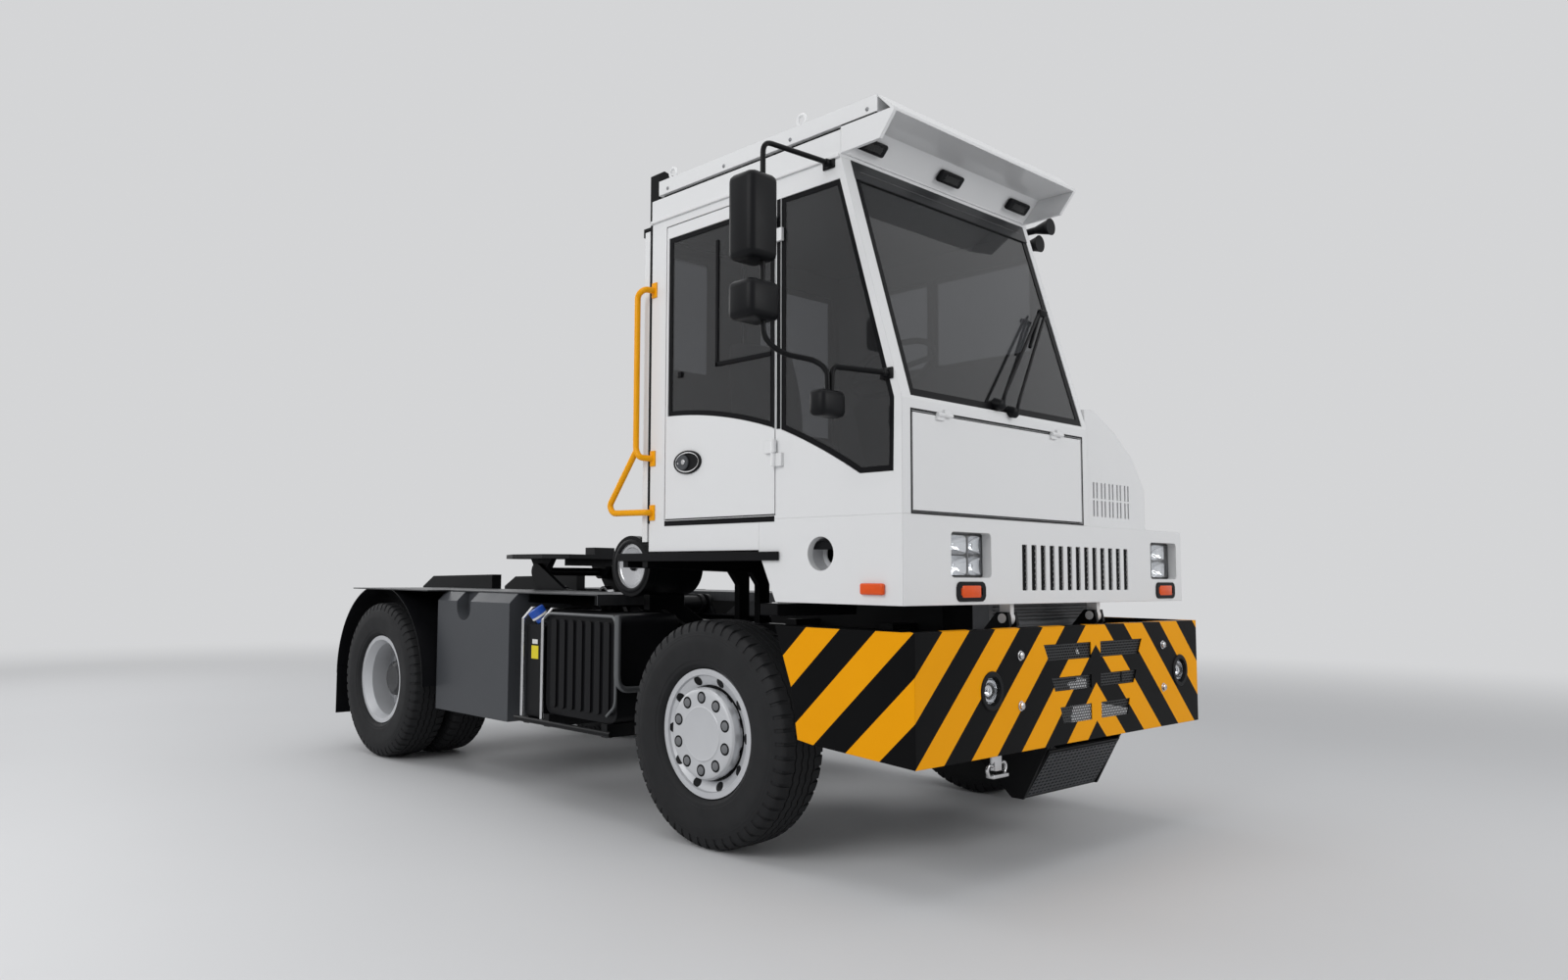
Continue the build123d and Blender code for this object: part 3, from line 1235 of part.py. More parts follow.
# Fifth wheel: a plate with a tapered mouth, a kingpin bore and lugs on the coupling pin
plate_skin = 30
mouth_gap = 22
with BuildPart() as fifth_wheel:
    with BuildSketch(level(plate_top - plate_skin)):
        with BuildLine():
            Polyline((-330, coupling_y - 410), (330, coupling_y - 410), (plate_half, coupling_y - 250),
                     (plate_half, coupling_y + 130), (330, coupling_y + 400), (215, coupling_y + 400),
                     (24, coupling_y + kingpin_r + mouth_gap + 20), (-24, coupling_y + kingpin_r + mouth_gap + 20),
                     (-215, coupling_y + 400), (-330, coupling_y + 400), (-plate_half, coupling_y + 130),
                     (-plate_half, coupling_y - 250), close=True)
        make_face()
        with Locations((0, coupling_y)):
            Circle(kingpin_r, mode=Mode.SUBTRACT)
    extrude(amount=plate_skin)
    for side in (-1, 1):
        with BuildSketch(aside(side * 265 - 25)):
            with BuildLine():
                Polyline((coupling_y - 130, plate_top - plate_skin), (coupling_y - 46, coupling_z - 18),
                         (coupling_y + 46, coupling_z - 18), (coupling_y + 130, plate_top - plate_skin),
                         close=True)
            make_face()
            with Locations((coupling_y, coupling_z)):
                Circle(50)
                Circle(coupling_pin_r + running, mode=Mode.SUBTRACT)
        extrude(amount=50)
    with Locations((0, coupling_y - 300, plate_top - plate_skin - 25)):
        Box(560, 24, 50)
    with Locations((0, coupling_y - 330, plate_top + 26)):
        Box(180, 110, 52)
finish(fifth_wheel, "fifth_wheel")

# Mirrors on the right: two bent tubes and their heads
tube_r = 14
arm_z = cab_roof - 38
arm_route = ((-cab_half, -800, arm_z), (-cab_half - 30, -800, arm_z), (-1330, -830, arm_z),
             (-1690, -850, arm_z - 20), (-1700, -850, 2350), (-1640, -850, 2200), (-1400, -850, 2180),
             (-cab_half - 30, -790, 2105), (-cab_half, -790, 2105))
small_route = ((-cab_half, -1125, 2170), (-cab_half - 30, -1125, 2170), (-1480, -1040, 2150),
               (-1480, -1000, 2120), (-1480, -1000, 2030 + fit_gap))


def tube(route, radius):
    """Round tube along straight stretches with mitred bends."""
    with BuildLine() as route_line:
        Polyline(*route)
    step = Vector(*route[1]) - Vector(*route[0])
    with BuildSketch(Plane(origin=route[0], z_dir=step)) as section:
        Circle(radius)
    sweep(sections=section.sketch, path=route_line.line, transition=Transition.RIGHT)


with BuildPart() as mirror_arms:
    tube(arm_route, tube_r)
    tube(small_route, tube_r)
    for y, z, wide in ((-800, arm_z, 70), (-790, 2105, 70), (-1125, 2170, 26)):
        with Locations((-cab_half - 5, y, z)):
            Box(10, wide, 90)
finish(mirror_arms, "mirror_arms")

with BuildPart() as mirror_heads:
    for x, y, z, wide, tall, deep in ((-1660, -793 + fit_gap, 2768, 200, 395, 86),
                                      (-1660, -793 + fit_gap, 2420, 200, 155, 86),
                                      (-1480, -1000, 1974, 150, 112, 90)):
        with Locations((x, y, z)):
            Box(wide, deep, tall)
    fillet(mirror_heads.edges().filter_by(Axis.Y), radius=34)
finish(mirror_heads, "mirror_heads")

# Handrail behind the side door
grip_r = 16
with BuildPart() as handrail:
    for route in (((396, 2762), (440, 2740), (440, 1950), (396, 1888)),
                  ((396, 1850), (440, 1826), (660, 1670), (440, 1640), (396, 1600))):
        (first_y, first_z), *middle, (last_y, last_z) = route
        tube(((-cab_half, first_y, first_z), (-cab_half - 30, first_y, first_z),
              *[(-1300, y, z) for y, z in middle],
              (-cab_half - 30, last_y, last_z), (-cab_half, last_y, last_z)), grip_r)
finish(handrail, "handrail")

# Wiper linkage in front of the windscreen, and two horns beside the cab's roof
with BuildPart() as wiper:
    for x, z in ((-518, 2066), (-407, 2046)):
        with BuildSketch(across(cab_front)):
            with Locations((x, 1998)):
                Circle(18)
        extrude(amount=30)
    blade_plane = screen_plane.offset(26)
    with BuildSketch(blade_plane):
        with BuildLine():
            Polyline((-524, -26), (-512, -26), (-186, 540), (-198, 540), close=True)
        make_face()
        with BuildLine():
            Polyline((-413, -26), (-401, -26), (-160, 540), (-172, 540), close=True)
        make_face()
        with BuildLine():
            Polyline((-205, 520), (-150, 520), (-150, 548), (-205, 548), close=True)
        make_face()
    extrude(amount=8)
finish(wiper, "wiper")

horn_length = 270
with BuildPart() as air_horns:
    for x, y, z, r in ((440, -895, cab_roof + 48, 46), (430, -836, cab_roof - 34, 46)):
        with BuildSketch(Plane((x, y, z), x_dir=(1, 0, 0), z_dir=(0, 0, 1))):
            with BuildLine():
                Polyline((0, 0), (r, 0), (r * 0.86, 16), (r * 0.42, 90), (15, 200), (30, 214),
                         (30, horn_length), (0, horn_length), close=True)
            make_face()
        revolve(axis=Axis((x, y, z), (0, 1, 0)))
    with BuildSketch(across(-622)):
        with BuildLine():
            Polyline((cab_left, cab_roof - 50), (440, cab_roof - 50), (440, cab_roof + 56),
                     (424, cab_roof + 56), (424, cab_roof - 20), (cab_left, cab_roof - 20), close=True)
        make_face()
    extrude(amount=16)
finish(air_horns, "air_horns")

# Cab fittings: seat, dashboard, and the steering wheel on its column
floor_top = cab_floor + cab_skin
with BuildPart() as seat:
    with Locations((-600, 60, (floor_top + 1790) / 2)):
        Box(360, 380, 1790 - floor_top)
    with BuildSketch(aside(-860)):
        with BuildLine():
            Polyline((-230, 1790), (-250, 1900), (110, 1890), (190, 2560), (280, 2570), (300, 2540),
                     (220, 1790), close=True)
        make_face()
    extrude(amount=520)
    fillet(seat.edges().filter_by(Axis.X).group_by(Axis.Z)[-1], radius=20)
finish(seat, "seat")

column_plane = Plane(origin=(-600, -640, 2290), x_dir=(1, 0, 0), z_dir=(0, 0.5, 0.866))
with BuildPart() as dashboard:
    with BuildSketch(aside(-cab_half + cab_skin + fit_gap)):
        with BuildLine():
            Polyline((cab_front + cab_skin + 4, floor_top), (cab_front + cab_skin + 4, 2010), (-980, 2050),
                     (-900, 2010), (-960, 1800), (-1030, floor_top), close=True)
        make_face()
    extrude(amount=cab_half + cab_left - 2 * cab_skin - 2 * fit_gap)
    with BuildSketch(column_plane.offset(-360)):
        Circle(34)
    extrude(amount=330 - fit_gap)
    with Locations((-600, -890, 1950)):
        Box(110, 150, 160)
    clear_lamp()
finish(dashboard, "dashboard")

with BuildPart() as steering_wheel:
    with BuildSketch(Plane(origin=column_plane.origin, x_dir=(1, 0, 0), z_dir=column_plane.y_dir)):
        with Locations((215, 0)):
            Circle(15)
    revolve(axis=Axis(column_plane.origin, column_plane.z_dir))
    with BuildSketch(column_plane.offset(-30)):
        Circle(62)
    extrude(amount=28)
    with BuildSketch(column_plane.offset(-16)):
        with PolarLocations(130, 4, start_angle=45):
            Rectangle(150, 34)
    extrude(amount=12)
finish(steering_wheel, "steering_wheel")
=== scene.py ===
"""Terminal tractor: camera, studio, materials and fine detail over the CAD model.

Helpers take millimetres in the chassis frame of part.py, where x = 0 is the centreline, y = 0 the
front axle and z = 0 the ground, and place pieces in the model's frame in metres.
"""
import math

import bmesh
import bpy
from mathutils import Matrix, Vector


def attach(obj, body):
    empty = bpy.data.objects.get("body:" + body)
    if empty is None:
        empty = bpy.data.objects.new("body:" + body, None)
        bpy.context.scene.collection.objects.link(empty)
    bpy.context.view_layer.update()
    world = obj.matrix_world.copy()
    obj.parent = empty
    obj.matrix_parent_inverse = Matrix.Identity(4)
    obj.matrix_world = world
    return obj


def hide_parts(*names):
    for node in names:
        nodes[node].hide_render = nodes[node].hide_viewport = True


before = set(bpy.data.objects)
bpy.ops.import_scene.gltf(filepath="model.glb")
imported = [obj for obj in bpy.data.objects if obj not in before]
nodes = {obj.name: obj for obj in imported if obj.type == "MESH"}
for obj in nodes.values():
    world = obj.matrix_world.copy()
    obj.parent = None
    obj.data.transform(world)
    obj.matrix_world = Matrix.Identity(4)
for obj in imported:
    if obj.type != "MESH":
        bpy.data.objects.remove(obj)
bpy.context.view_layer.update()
scene = bpy.context.scene

# Sizes shared with part.py, in millimetres
ORIGIN_X, ORIGIN_Y = -255.0, 1525.0
HALF_WIDTH = 1250
WHEELBASE = 3410
AXLE_Z = 540
WHEEL_X = 1100
TWIN_PITCH = 345
FRONT_END = -1250
BUMPER_TOP = 1072
FACE_CENTRE = 165
PANEL_CENTRE = 137
FOG_SPREAD = 880
FOG_Z = 812
CAB_HALF = 1235
CAB_FRONT = -1184
CAB_LEFT = 245
CAB_REAR = 419
CAB_SHELF = 1549
CAB_ROOF = 3118
CAP_LOW, CAP_TOP = CAB_ROOF + 140, CAB_ROOF + 215
LEFT_PANES = ((-905, -288), (-262, 60))
SCREEN_BOTTOM = 2023
SCREEN_LEAN = 328 / 1127

# Directions in the chassis frame
TO_LEFT, TO_RIGHT, FORWARD, UP = (1, 0, 0), (-1, 0, 0), (0, -1, 0), (0, 0, 1)


def place(x, y, z):
    """A point of the chassis frame in millimetres, in the model's frame in metres."""
    return Vector(((x - ORIGIN_X) / 1000, (y - ORIGIN_Y) / 1000, z / 1000))


# Camera, at the photograph's place and angle
def set_camera():
    yaw, pitch, roll = (math.radians(a) for a in (-41.439, 4.418, 0.481))
    forward = Vector((-math.sin(yaw) * math.cos(pitch), math.cos(yaw) * math.cos(pitch), math.sin(pitch)))
    right = Vector((math.cos(yaw), math.sin(yaw), 0))
    up = right.cross(forward)
    tilted_right = right * math.cos(roll) + up * math.sin(roll)
    tilted_up = up * math.cos(roll) - right * math.sin(roll)
    data = bpy.data.cameras.new("camera")
    data.sensor_width = 36
    data.lens = 25.215
    data.shift_x = 0.0625
    data.clip_end = 200
    camera = bpy.data.objects.new("camera", data)
    scene.collection.objects.link(camera)
    turn = Matrix((tilted_right, tilted_up, -forward)).transposed().to_4x4()
    camera.matrix_world = Matrix.Translation((-4.558, -5.443, 1.294)) @ turn
    scene.camera = camera


set_camera()
scene.view_settings.view_transform = "Standard"


# Studio
def add_light(name, spot, aim, size, watts):
    """An area lamp at a spot in metres, turned to its aim."""
    data = bpy.data.lights.new(name, "AREA")
    data.shape = "RECTANGLE"
    data.size, data.size_y = size
    data.energy = watts
    light = bpy.data.objects.new(name, data)
    scene.collection.objects.link(light)
    light.location = spot
    light.rotation_euler = (Vector(aim) - Vector(spot)).to_track_quat("-Z", "Y").to_euler()


add_light("key", (-8.5, -2.0, 5.6), (0, -1.2, 1.3), (6.0, 5.0), 300)
add_light("front", (1.6, -9.5, 4.4), (0.2, -1.6, 1.4), (5.0, 3.6), 190)
add_light("top", (0, 0, 8.2), (0, 0, 0), (8.0, 9.0), 200)
add_light("rear_side", (-2.6, 9.0, 4.6), (0, 0.6, 1.4), (5.0, 4.0), 150)

BACKDROP = (0.66, 0.665, 0.675)


def link(tree, start, end):
    tree.links.new(start, end)


def node(tree, kind, **values):
    made = tree.nodes.new(kind)
    for key, value in values.items():
        setattr(made, key, value)
    return made


def set_world():
    world = bpy.data.worlds.new("studio")
    scene.world = world
    world.use_nodes = True
    tree = world.node_tree
    tree.nodes.clear()
    out = node(tree, "ShaderNodeOutputWorld")
    light = node(tree, "ShaderNodeBackground")
    light.inputs["Color"].default_value = (0.38, 0.385, 0.395, 1)
    seen = node(tree, "ShaderNodeBackground")
    seen.inputs["Color"].default_value = (*BACKDROP, 1)
    mix = node(tree, "ShaderNodeMixShader")
    path = node(tree, "ShaderNodeLightPath")
    seen_by = path.outputs["Is Camera Ray"]
    for ray in ("Is Glossy Ray", "Is Transmission Ray"):
        either = node(tree, "ShaderNodeMath", operation="MAXIMUM")
        link(tree, seen_by, either.inputs[0])
        link(tree, path.outputs[ray], either.inputs[1])
        seen_by = either.outputs[0]
    link(tree, seen_by, mix.inputs[0])
    link(tree, light.outputs[0], mix.inputs[1])
    link(tree, seen.outputs[0], mix.inputs[2])
    link(tree, mix.outputs[0], out.inputs["Surface"])


set_world()


# Materials
class Look:
    """A procedural material over object coordinates: colour drift, gloss drift and fine bump."""

    def __init__(self, name, colour, rough, metal=0.0, coat=0.0, specular=0.5):
        self.material = bpy.data.materials.new(name)
        self.material.use_nodes = True
        self.tree = self.material.node_tree
        self.shader = self.tree.nodes["Principled BSDF"]
        self.colour = (*colour, 1)
        self.rough = rough
        self.shader.inputs["Base Color"].default_value = self.colour
        self.shader.inputs["Roughness"].default_value = rough
        self.shader.inputs["Metallic"].default_value = metal
        self.shader.inputs["Coat Weight"].default_value = coat
        self.shader.inputs["Coat Roughness"].default_value = 0.08
        self.shader.inputs["Specular IOR Level"].default_value = specular
        self.where = node(self.tree, "ShaderNodeTexCoord")
        self.normal = None

    def noise(self, scale, detail=3.0, stretch=None):
        """A noise field over the object's coordinates."""
        field = node(self.tree, "ShaderNodeTexNoise")
        field.inputs["Scale"].default_value = scale
        field.inputs["Detail"].default_value = detail
        source = self.where.outputs["Object"]
        if stretch:
            mapping = node(self.tree, "ShaderNodeMapping")
            mapping.inputs["Scale"].default_value = stretch
            link(self.tree, source, mapping.inputs["Vector"])
            source = mapping.outputs["Vector"]
        link(self.tree, source, field.inputs["Vector"])
        return field.outputs["Fac"]

    def blend_by(self, factor, low, high):
        """A colour from low to high along a 0 to 1 factor."""
        mix = node(self.tree, "ShaderNodeMix", data_type="RGBA")
        link(self.tree, factor, mix.inputs["Factor"])
        for socket, value in ((6, low), (7, high)):
            if isinstance(value, tuple):
                mix.inputs[socket].default_value = (*value[:3], 1)
            else:
                link(self.tree, value, mix.inputs[socket])
        return mix.outputs[2]

    def drift(self, scale, amount):
        """Slow change of the base colour, up and down by an amount."""
        low = tuple(c * (1 - amount) for c in self.colour[:3])
        high = tuple(min(1, c * (1 + amount)) for c in self.colour[:3])
        self.paint(self.blend_by(self.noise(scale), low, high))
        return self

    def paint(self, socket):
        """Take the base colour from a socket."""
        link(self.tree, socket, self.shader.inputs["Base Color"])
        self.painted = socket

    def gloss(self, scale, amount):
        """Slow change of roughness."""
        spread = node(self.tree, "ShaderNodeMapRange")
        spread.inputs["To Min"].default_value = max(0.02, self.rough - amount)
        spread.inputs["To Max"].default_value = self.rough + amount
        link(self.tree, self.noise(scale, 4), spread.inputs["Value"])
        link(self.tree, spread.outputs[0], self.shader.inputs["Roughness"])
        return self

    def rounded(self, radius):
        """Edges shaded as if they had a small radius."""
        edge = node(self.tree, "ShaderNodeBevel", samples=4)
        edge.inputs["Radius"].default_value = radius
        self.normal = edge.outputs["Normal"]
        link(self.tree, self.normal, self.shader.inputs["Normal"])
        return self

    def bump(self, field, strength, depth):
        """Bump from a field, over what shades the normal already."""
        relief = node(self.tree, "ShaderNodeBump")
        relief.inputs["Strength"].default_value = strength
        relief.inputs["Distance"].default_value = depth
        link(self.tree, field, relief.inputs["Height"])
        if self.normal is not None:
            link(self.tree, self.normal, relief.inputs["Normal"])
        self.normal = relief.outputs["Normal"]
        link(self.tree, self.normal, self.shader.inputs["Normal"])
        return self

    def grain(self, scale, detail, strength, depth, stretch=None):
        """Bump from fine noise."""
        return self.bump(self.noise(scale, detail, stretch), strength, depth)

    def math(self, operation, first, second=None):
        """The result of an operation on sockets or numbers."""
        step = node(self.tree, "ShaderNodeMath", operation=operation)
        for index, value in enumerate((first, second)):
            if value is None:
                continue
            if isinstance(value, (int, float)):
                step.inputs[index].default_value = value
            else:
                link(self.tree, value, step.inputs[index])
        return step.outputs[0]

    def axes(self):
        """The object's coordinates, in metres."""
        split = node(self.tree, "ShaderNodeSeparateXYZ")
        link(self.tree, self.where.outputs["Object"], split.inputs[0])
        return split.outputs

    def from_middle(self, run, pitch):
        """How far a place is from the middle of its repeat, as a share of the pitch."""
        share = self.math("FRACT", self.math("DIVIDE", run, pitch))
        return self.math("ABSOLUTE", self.math("SUBTRACT", share, 0.5))


white = Look("cab_white", (0.80, 0.805, 0.81), 0.30, coat=0.35)
white.drift(1.3, 0.018).gloss(5, 0.05).rounded(0.005).grain(220, 2, 0.02, 0.0004)


def cab_paint(name, rear_limit):
    """The cab's white outside and dark trim inside, split by place within the cab's walls."""
    look = Look(name, (0.80, 0.805, 0.81), 0.30, coat=0.3)
    look.drift(1.3, 0.018)
    x, y, z = look.axes()
    side_skin, front_skin = 12, 16
    right_x, left_x = place(-CAB_HALF + side_skin, 0, 0).x, place(CAB_LEFT - side_skin, 0, 0).x
    front_y, rear_y = place(0, CAB_FRONT + front_skin, 0).y, place(0, rear_limit, 0).y
    rise = look.math("SUBTRACT", z, SCREEN_BOTTOM / 1000)
    leaning_y = look.math("ADD", look.math("MULTIPLY", rise, SCREEN_LEAN), front_y)
    limits = (("GREATER_THAN", x, right_x), ("LESS_THAN", x, left_x), ("GREATER_THAN", y, leaning_y),
              ("GREATER_THAN", y, front_y), ("LESS_THAN", y, rear_y),
              ("GREATER_THAN", z, (CAB_SHELF - 60) / 1000), ("LESS_THAN", z, (CAB_ROOF - 4) / 1000))
    inside = None
    for operation, value, limit in limits:
        test = look.math(operation, value, limit)
        inside = test if inside is None else look.math("MULTIPLY", inside, test)
    trim = look.blend_by(look.noise(40, 3), (0.020, 0.021, 0.023), (0.030, 0.031, 0.034))
    look.paint(look.blend_by(inside, look.painted, trim))
    look.gloss(5, 0.05).rounded(0.005).grain(220, 2, 0.02, 0.0004)
    return look


shell_white = cab_paint("cab_shell_paint", CAB_REAR - 10)
gate_white = cab_paint("rear_door_paint", CAB_REAR + 22)

black = Look("chassis_black", (0.0045, 0.0047, 0.0054), 0.34, specular=0.12)
black.drift(4, 0.25).gloss(9, 0.10).rounded(0.004).grain(160, 3, 0.05, 0.0006)

cast = Look("cast_grey", (0.014, 0.0145, 0.016), 0.55, specular=0.2)
cast.drift(7, 0.3).gloss(14, 0.1).grain(120, 4, 0.25, 0.0012)

grey = Look("dark_grey", (0.066, 0.070, 0.077), 0.38, specular=0.25)
grey.drift(2.5, 0.08).gloss(6, 0.07).rounded(0.004).grain(190, 2, 0.04, 0.0005)

plastic = Look("black_plastic", (0.0065, 0.0067, 0.0078), 0.40, specular=0.13)
plastic.drift(6, 0.12).gloss(11, 0.06).rounded(0.003).grain(420, 2, 0.16, 0.0004)

orange = Look("rail_orange", (0.92, 0.39, 0.003), 0.30, specular=0.18)
orange.drift(9, 0.04).gloss(14, 0.05).grain(260, 2, 0.04, 0.0004)

silver = Look("wheel_silver", (0.60, 0.61, 0.63), 0.34, metal=0.30, coat=0.1)
silver.drift(12, 0.04).gloss(30, 0.05).grain(700, 2, 0.03, 0.0002)

steel = Look("bright_steel", (0.62, 0.62, 0.63), 0.24, metal=1.0)
steel.drift(20, 0.06).gloss(30, 0.08).grain(90, 2, 0.05, 0.0003, (1, 1, 12))

chrome = Look("lamp_chrome", (0.83, 0.84, 0.86), 0.10, metal=1.0)
chrome.drift(14, 0.05).gloss(24, 0.05).grain(60, 2, 0.08, 0.0004)

alloy = Look("alloy", (0.20, 0.205, 0.215), 0.42, metal=0.6)
alloy.drift(18, 0.12).gloss(25, 0.1).grain(90, 2, 0.2, 0.0008, (1, 1, 9))

amber = Look("amber", (0.80, 0.085, 0.002), 0.2, coat=0.2, specular=0.3)
amber.drift(30, 0.1).grain(170, 1, 0.35, 0.0012, (1, 1, 4))

blue = Look("cap_blue", (0.015, 0.10, 0.52), 0.30, coat=0.2)
blue.drift(25, 0.1).gloss(30, 0.06).grain(300, 2, 0.05, 0.0004)

label_white = Look("plain_label", (0.75, 0.75, 0.73), 0.45)
label_white.drift(30, 0.04).grain(300, 2, 0.04, 0.0003)
label_yellow = Look("plain_yellow_label", (0.80, 0.66, 0.01), 0.45)
label_yellow.drift(30, 0.04).grain(300, 2, 0.04, 0.0003)

fabric = Look("seat_fabric", (0.022, 0.023, 0.026), 0.85)
fabric.drift(14, 0.25)
fabric.shader.inputs["Sheen Weight"].default_value = 0.25
weave = node(fabric.tree, "ShaderNodeTexWave", wave_type="BANDS", bands_direction="DIAGONAL")
weave.inputs["Scale"].default_value = 260
link(fabric.tree, fabric.where.outputs["Object"], weave.inputs["Vector"])
fabric.bump(weave.outputs["Fac"], 0.35, 0.0012)

rubber = Look("tyre_rubber", (0.016, 0.0163, 0.0175), 0.66, specular=0.22)
rubber.drift(8, 0.22).gloss(12, 0.1).grain(150, 4, 0.14, 0.0012)


def glass_look(name, tint, rough=0.0, through=1.0):
    """Tinted glass that lets a share of the light through and shows a grey film for the rest."""
    look = Look(name, tint, rough)
    look.shader.inputs["Transmission Weight"].default_value = through
    look.shader.inputs["IOR"].default_value = 1.45
    look.grain(2.2, 2, 0.02, 0.002)
    return look


tinted = glass_look("tinted_glass", (0.25, 0.255, 0.265), through=0.94)
clear = glass_look("lamp_clear", (0.93, 0.94, 0.95), 0.02)
dark_lens = glass_look("dark_lens", (0.20, 0.20, 0.21), 0.06)


# Hazard stripes that run round the bumper, mirrored about the middle of the face
def stripe_look():
    look = Look("bumper_paint", (0.86, 0.36, 0.010), 0.40, specular=0.07)
    x, y, z = look.axes()
    stripe_pitch, stripe_slope, stripe_start = 0.38, 1.06, 0.09
    centre = place(FACE_CENTRE, 0, 0).x
    face = place(0, FRONT_END, 0).y
    middle = place(0, 0, 0).x
    side = HALF_WIDTH / 1000
    across = look.math("ABSOLUTE", look.math("SUBTRACT", x, centre))
    along = look.math("SUBTRACT", y, face)
    down = look.math("MULTIPLY", look.math("SUBTRACT", z, BUMPER_TOP / 1000), stripe_slope)
    run = look.math("ADD", look.math("ADD", across, along), down)
    share = look.math("FRACT", look.math("DIVIDE", look.math("SUBTRACT", run, stripe_start), stripe_pitch))
    yellow = look.math("GREATER_THAN", share, 0.5)
    on_front = look.math("LESS_THAN", y, face + 0.003)
    off_middle = look.math("ABSOLUTE", look.math("SUBTRACT", x, middle))
    on_side = look.math("GREATER_THAN", off_middle, side - 0.003)
    on_top = look.math("GREATER_THAN", z, BUMPER_TOP / 1000 - 0.002)
    outside = look.math("MAXIMUM", look.math("MAXIMUM", on_front, on_side), on_top)
    show = look.math("MULTIPLY", yellow, outside)
    drift = look.noise(3.5)
    bright = look.blend_by(drift, (0.90, 0.365, 0.002), (0.95, 0.395, 0.003))
    dark = look.blend_by(drift, (0.0022, 0.0023, 0.0027), (0.0036, 0.0037, 0.0042))
    look.paint(look.blend_by(show, dark, bright))
    look.gloss(7, 0.06).rounded(0.005).grain(230, 2, 0.03, 0.0004)
    return look


stripes = stripe_look()


# Deck plate: raised diamonds on satin black
def chequer_look():
    look = Look("deck_plate", (0.06, 0.062, 0.066), 0.34, metal=0.4, specular=0.3)
    look.drift(3, 0.2).gloss(8, 0.1).rounded(0.004)
    x, y, _ = look.axes()
    pitch = 0.034
    first = look.math("ADD", x, y)
    second = look.math("SUBTRACT", x, y)
    bars = []
    for along, over in ((first, second), (second, first)):
        wide = look.math("LESS_THAN", look.from_middle(along, pitch), 0.12)
        long = look.math("LESS_THAN", look.from_middle(over, pitch * 2), 0.30)
        bars.append(look.math("MULTIPLY", wide, long))
    look.bump(look.math("MAXIMUM", *bars), 0.5, 0.0012)
    return look


chequer = chequer_look()


def rim_look():
    """Rear rims: silver, with a grey disc and a dark hub inside."""
    look = Look("rear_rim", (0.60, 0.61, 0.63), 0.34, metal=0.3, coat=0.1)
    look.drift(6, 0.05)
    _, y, z = look.axes()
    along = look.math("SUBTRACT", y, place(0, WHEELBASE, 0).y)
    up = look.math("SUBTRACT", z, AXLE_Z / 1000)
    square = look.math("ADD", look.math("MULTIPLY", along, along), look.math("MULTIPLY", up, up))
    for limit, scale, low, high in ((0.0575, 20, (0.15, 0.153, 0.16), (0.20, 0.204, 0.212)),
                                    (0.0256, 30, (0.02, 0.021, 0.023), (0.04, 0.041, 0.044))):
        within = look.math("LESS_THAN", square, limit)
        look.paint(look.blend_by(within, look.painted, look.blend_by(look.noise(scale, 2), low, high)))
    return look.gloss(20, 0.06).rounded(0.003).grain(160, 2, 0.03, 0.0004)


rim = rim_look()

FINISH = {
    white: ("cab_front_panel", "roof_frame", "roof_cap", "visor", "engine_cover", "front_hatch"),
    shell_white: ("cab_shell", "side_door"),
    gate_white: ("rear_door",),
    black: ("chassis_frame", "frame_brackets", "lower_guard", "front_springs", "step_plate", "reservoir",
            "tank_cradles", "rear_door_rails", "mirror_arms", "lift_boom", "lift_barrels", "cab_floor_panel"),
    cast: ("front_axle", "rear_axle", "engine_block", "steering_knuckle_left", "steering_knuckle_right",
           "fifth_wheel"),
    grey: ("side_boxes",),
    chequer: ("side_decks",),
    plastic: ("rear_mudguards", "side_tanks", "marker_lamps", "mirror_heads", "wiper", "air_horns",
              "dashboard", "steering_wheel"),
    stripes: ("front_bumper",),
    orange: ("handrail",),
    silver: ("front_wheel_left", "front_wheel_right"),
    rim: ("rear_wheel_left", "rear_wheel_right"),
    rubber: ("front_tyre_left", "front_tyre_right", "rear_tyre_left", "rear_tyre_right"),
    steel: ("tank_straps", "lift_rods"),
    alloy: ("radiator",),
    amber: ("indicators",),
    blue: ("tank_cap",),
    fabric: ("seat",),
    tinted: ("windscreen", "side_panes", "door_pane", "rear_door_pane"),
    clear: ("headlamps", "fog_lamps"),
}
for look, names in FINISH.items():
    for name in names:
        data = nodes[name].data
        data.materials.clear()
        data.materials.append(look.material)


# Black for the printed border of the glass, also used as painted shade in holes, behind slots and in gaps
print_and_shade_black = Look("glass_border", (0.005, 0.005, 0.006), 0.3, specular=0.1)
print_and_shade_black.drift(10, 0.1).gloss(20, 0.04)


# Mesh helpers
def piece(name, mesh, look, body, smooth=None):
    """Link a mesh as a piece that rides on a body, with its material."""
    made = bpy.data.objects.new(name, mesh)
    scene.collection.objects.link(made)
    mesh.materials.append(look.material)
    if smooth is not None:
        for face in mesh.polygons:
            face.use_smooth = True
        made.select_set(True)
        bpy.context.view_layer.objects.active = made
        bpy.ops.object.shade_smooth_by_angle(angle=math.radians(smooth))
        made.select_set(False)
    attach(made, body)
    return made


def from_bmesh(name, built):
    """The mesh of a bmesh, its faces turned outwards."""
    bmesh.ops.recalc_face_normals(built, faces=built.faces)
    mesh = bpy.data.meshes.new(name)
    built.to_mesh(mesh)
    built.free()
    return mesh


def shape(name, built, look, body, smooth=None):
    """A piece from a bmesh."""
    return piece(name, from_bmesh(name, built), look, body, smooth)


def bridge(built, rings):
    """Faces from each closed ring of vertices to the next."""
    for first, second in zip(rings, rings[1:]):
        count = len(first)
        for k in range(count):
            n = (k + 1) % count
            built.faces.new((first[k], first[n], second[n], second[k]))


def oblong(a0, b0, a1, b1):
    """The four corners of a rectangle."""
    return [(a0, b0), (a1, b0), (a1, b1), (a0, b1)]


def around(count, start=0.0):
    """Cosine and sine of evenly spaced turns."""
    turns = [start + 2 * math.pi * k / count for k in range(count)]
    return [(math.cos(a), math.sin(a)) for a in turns]


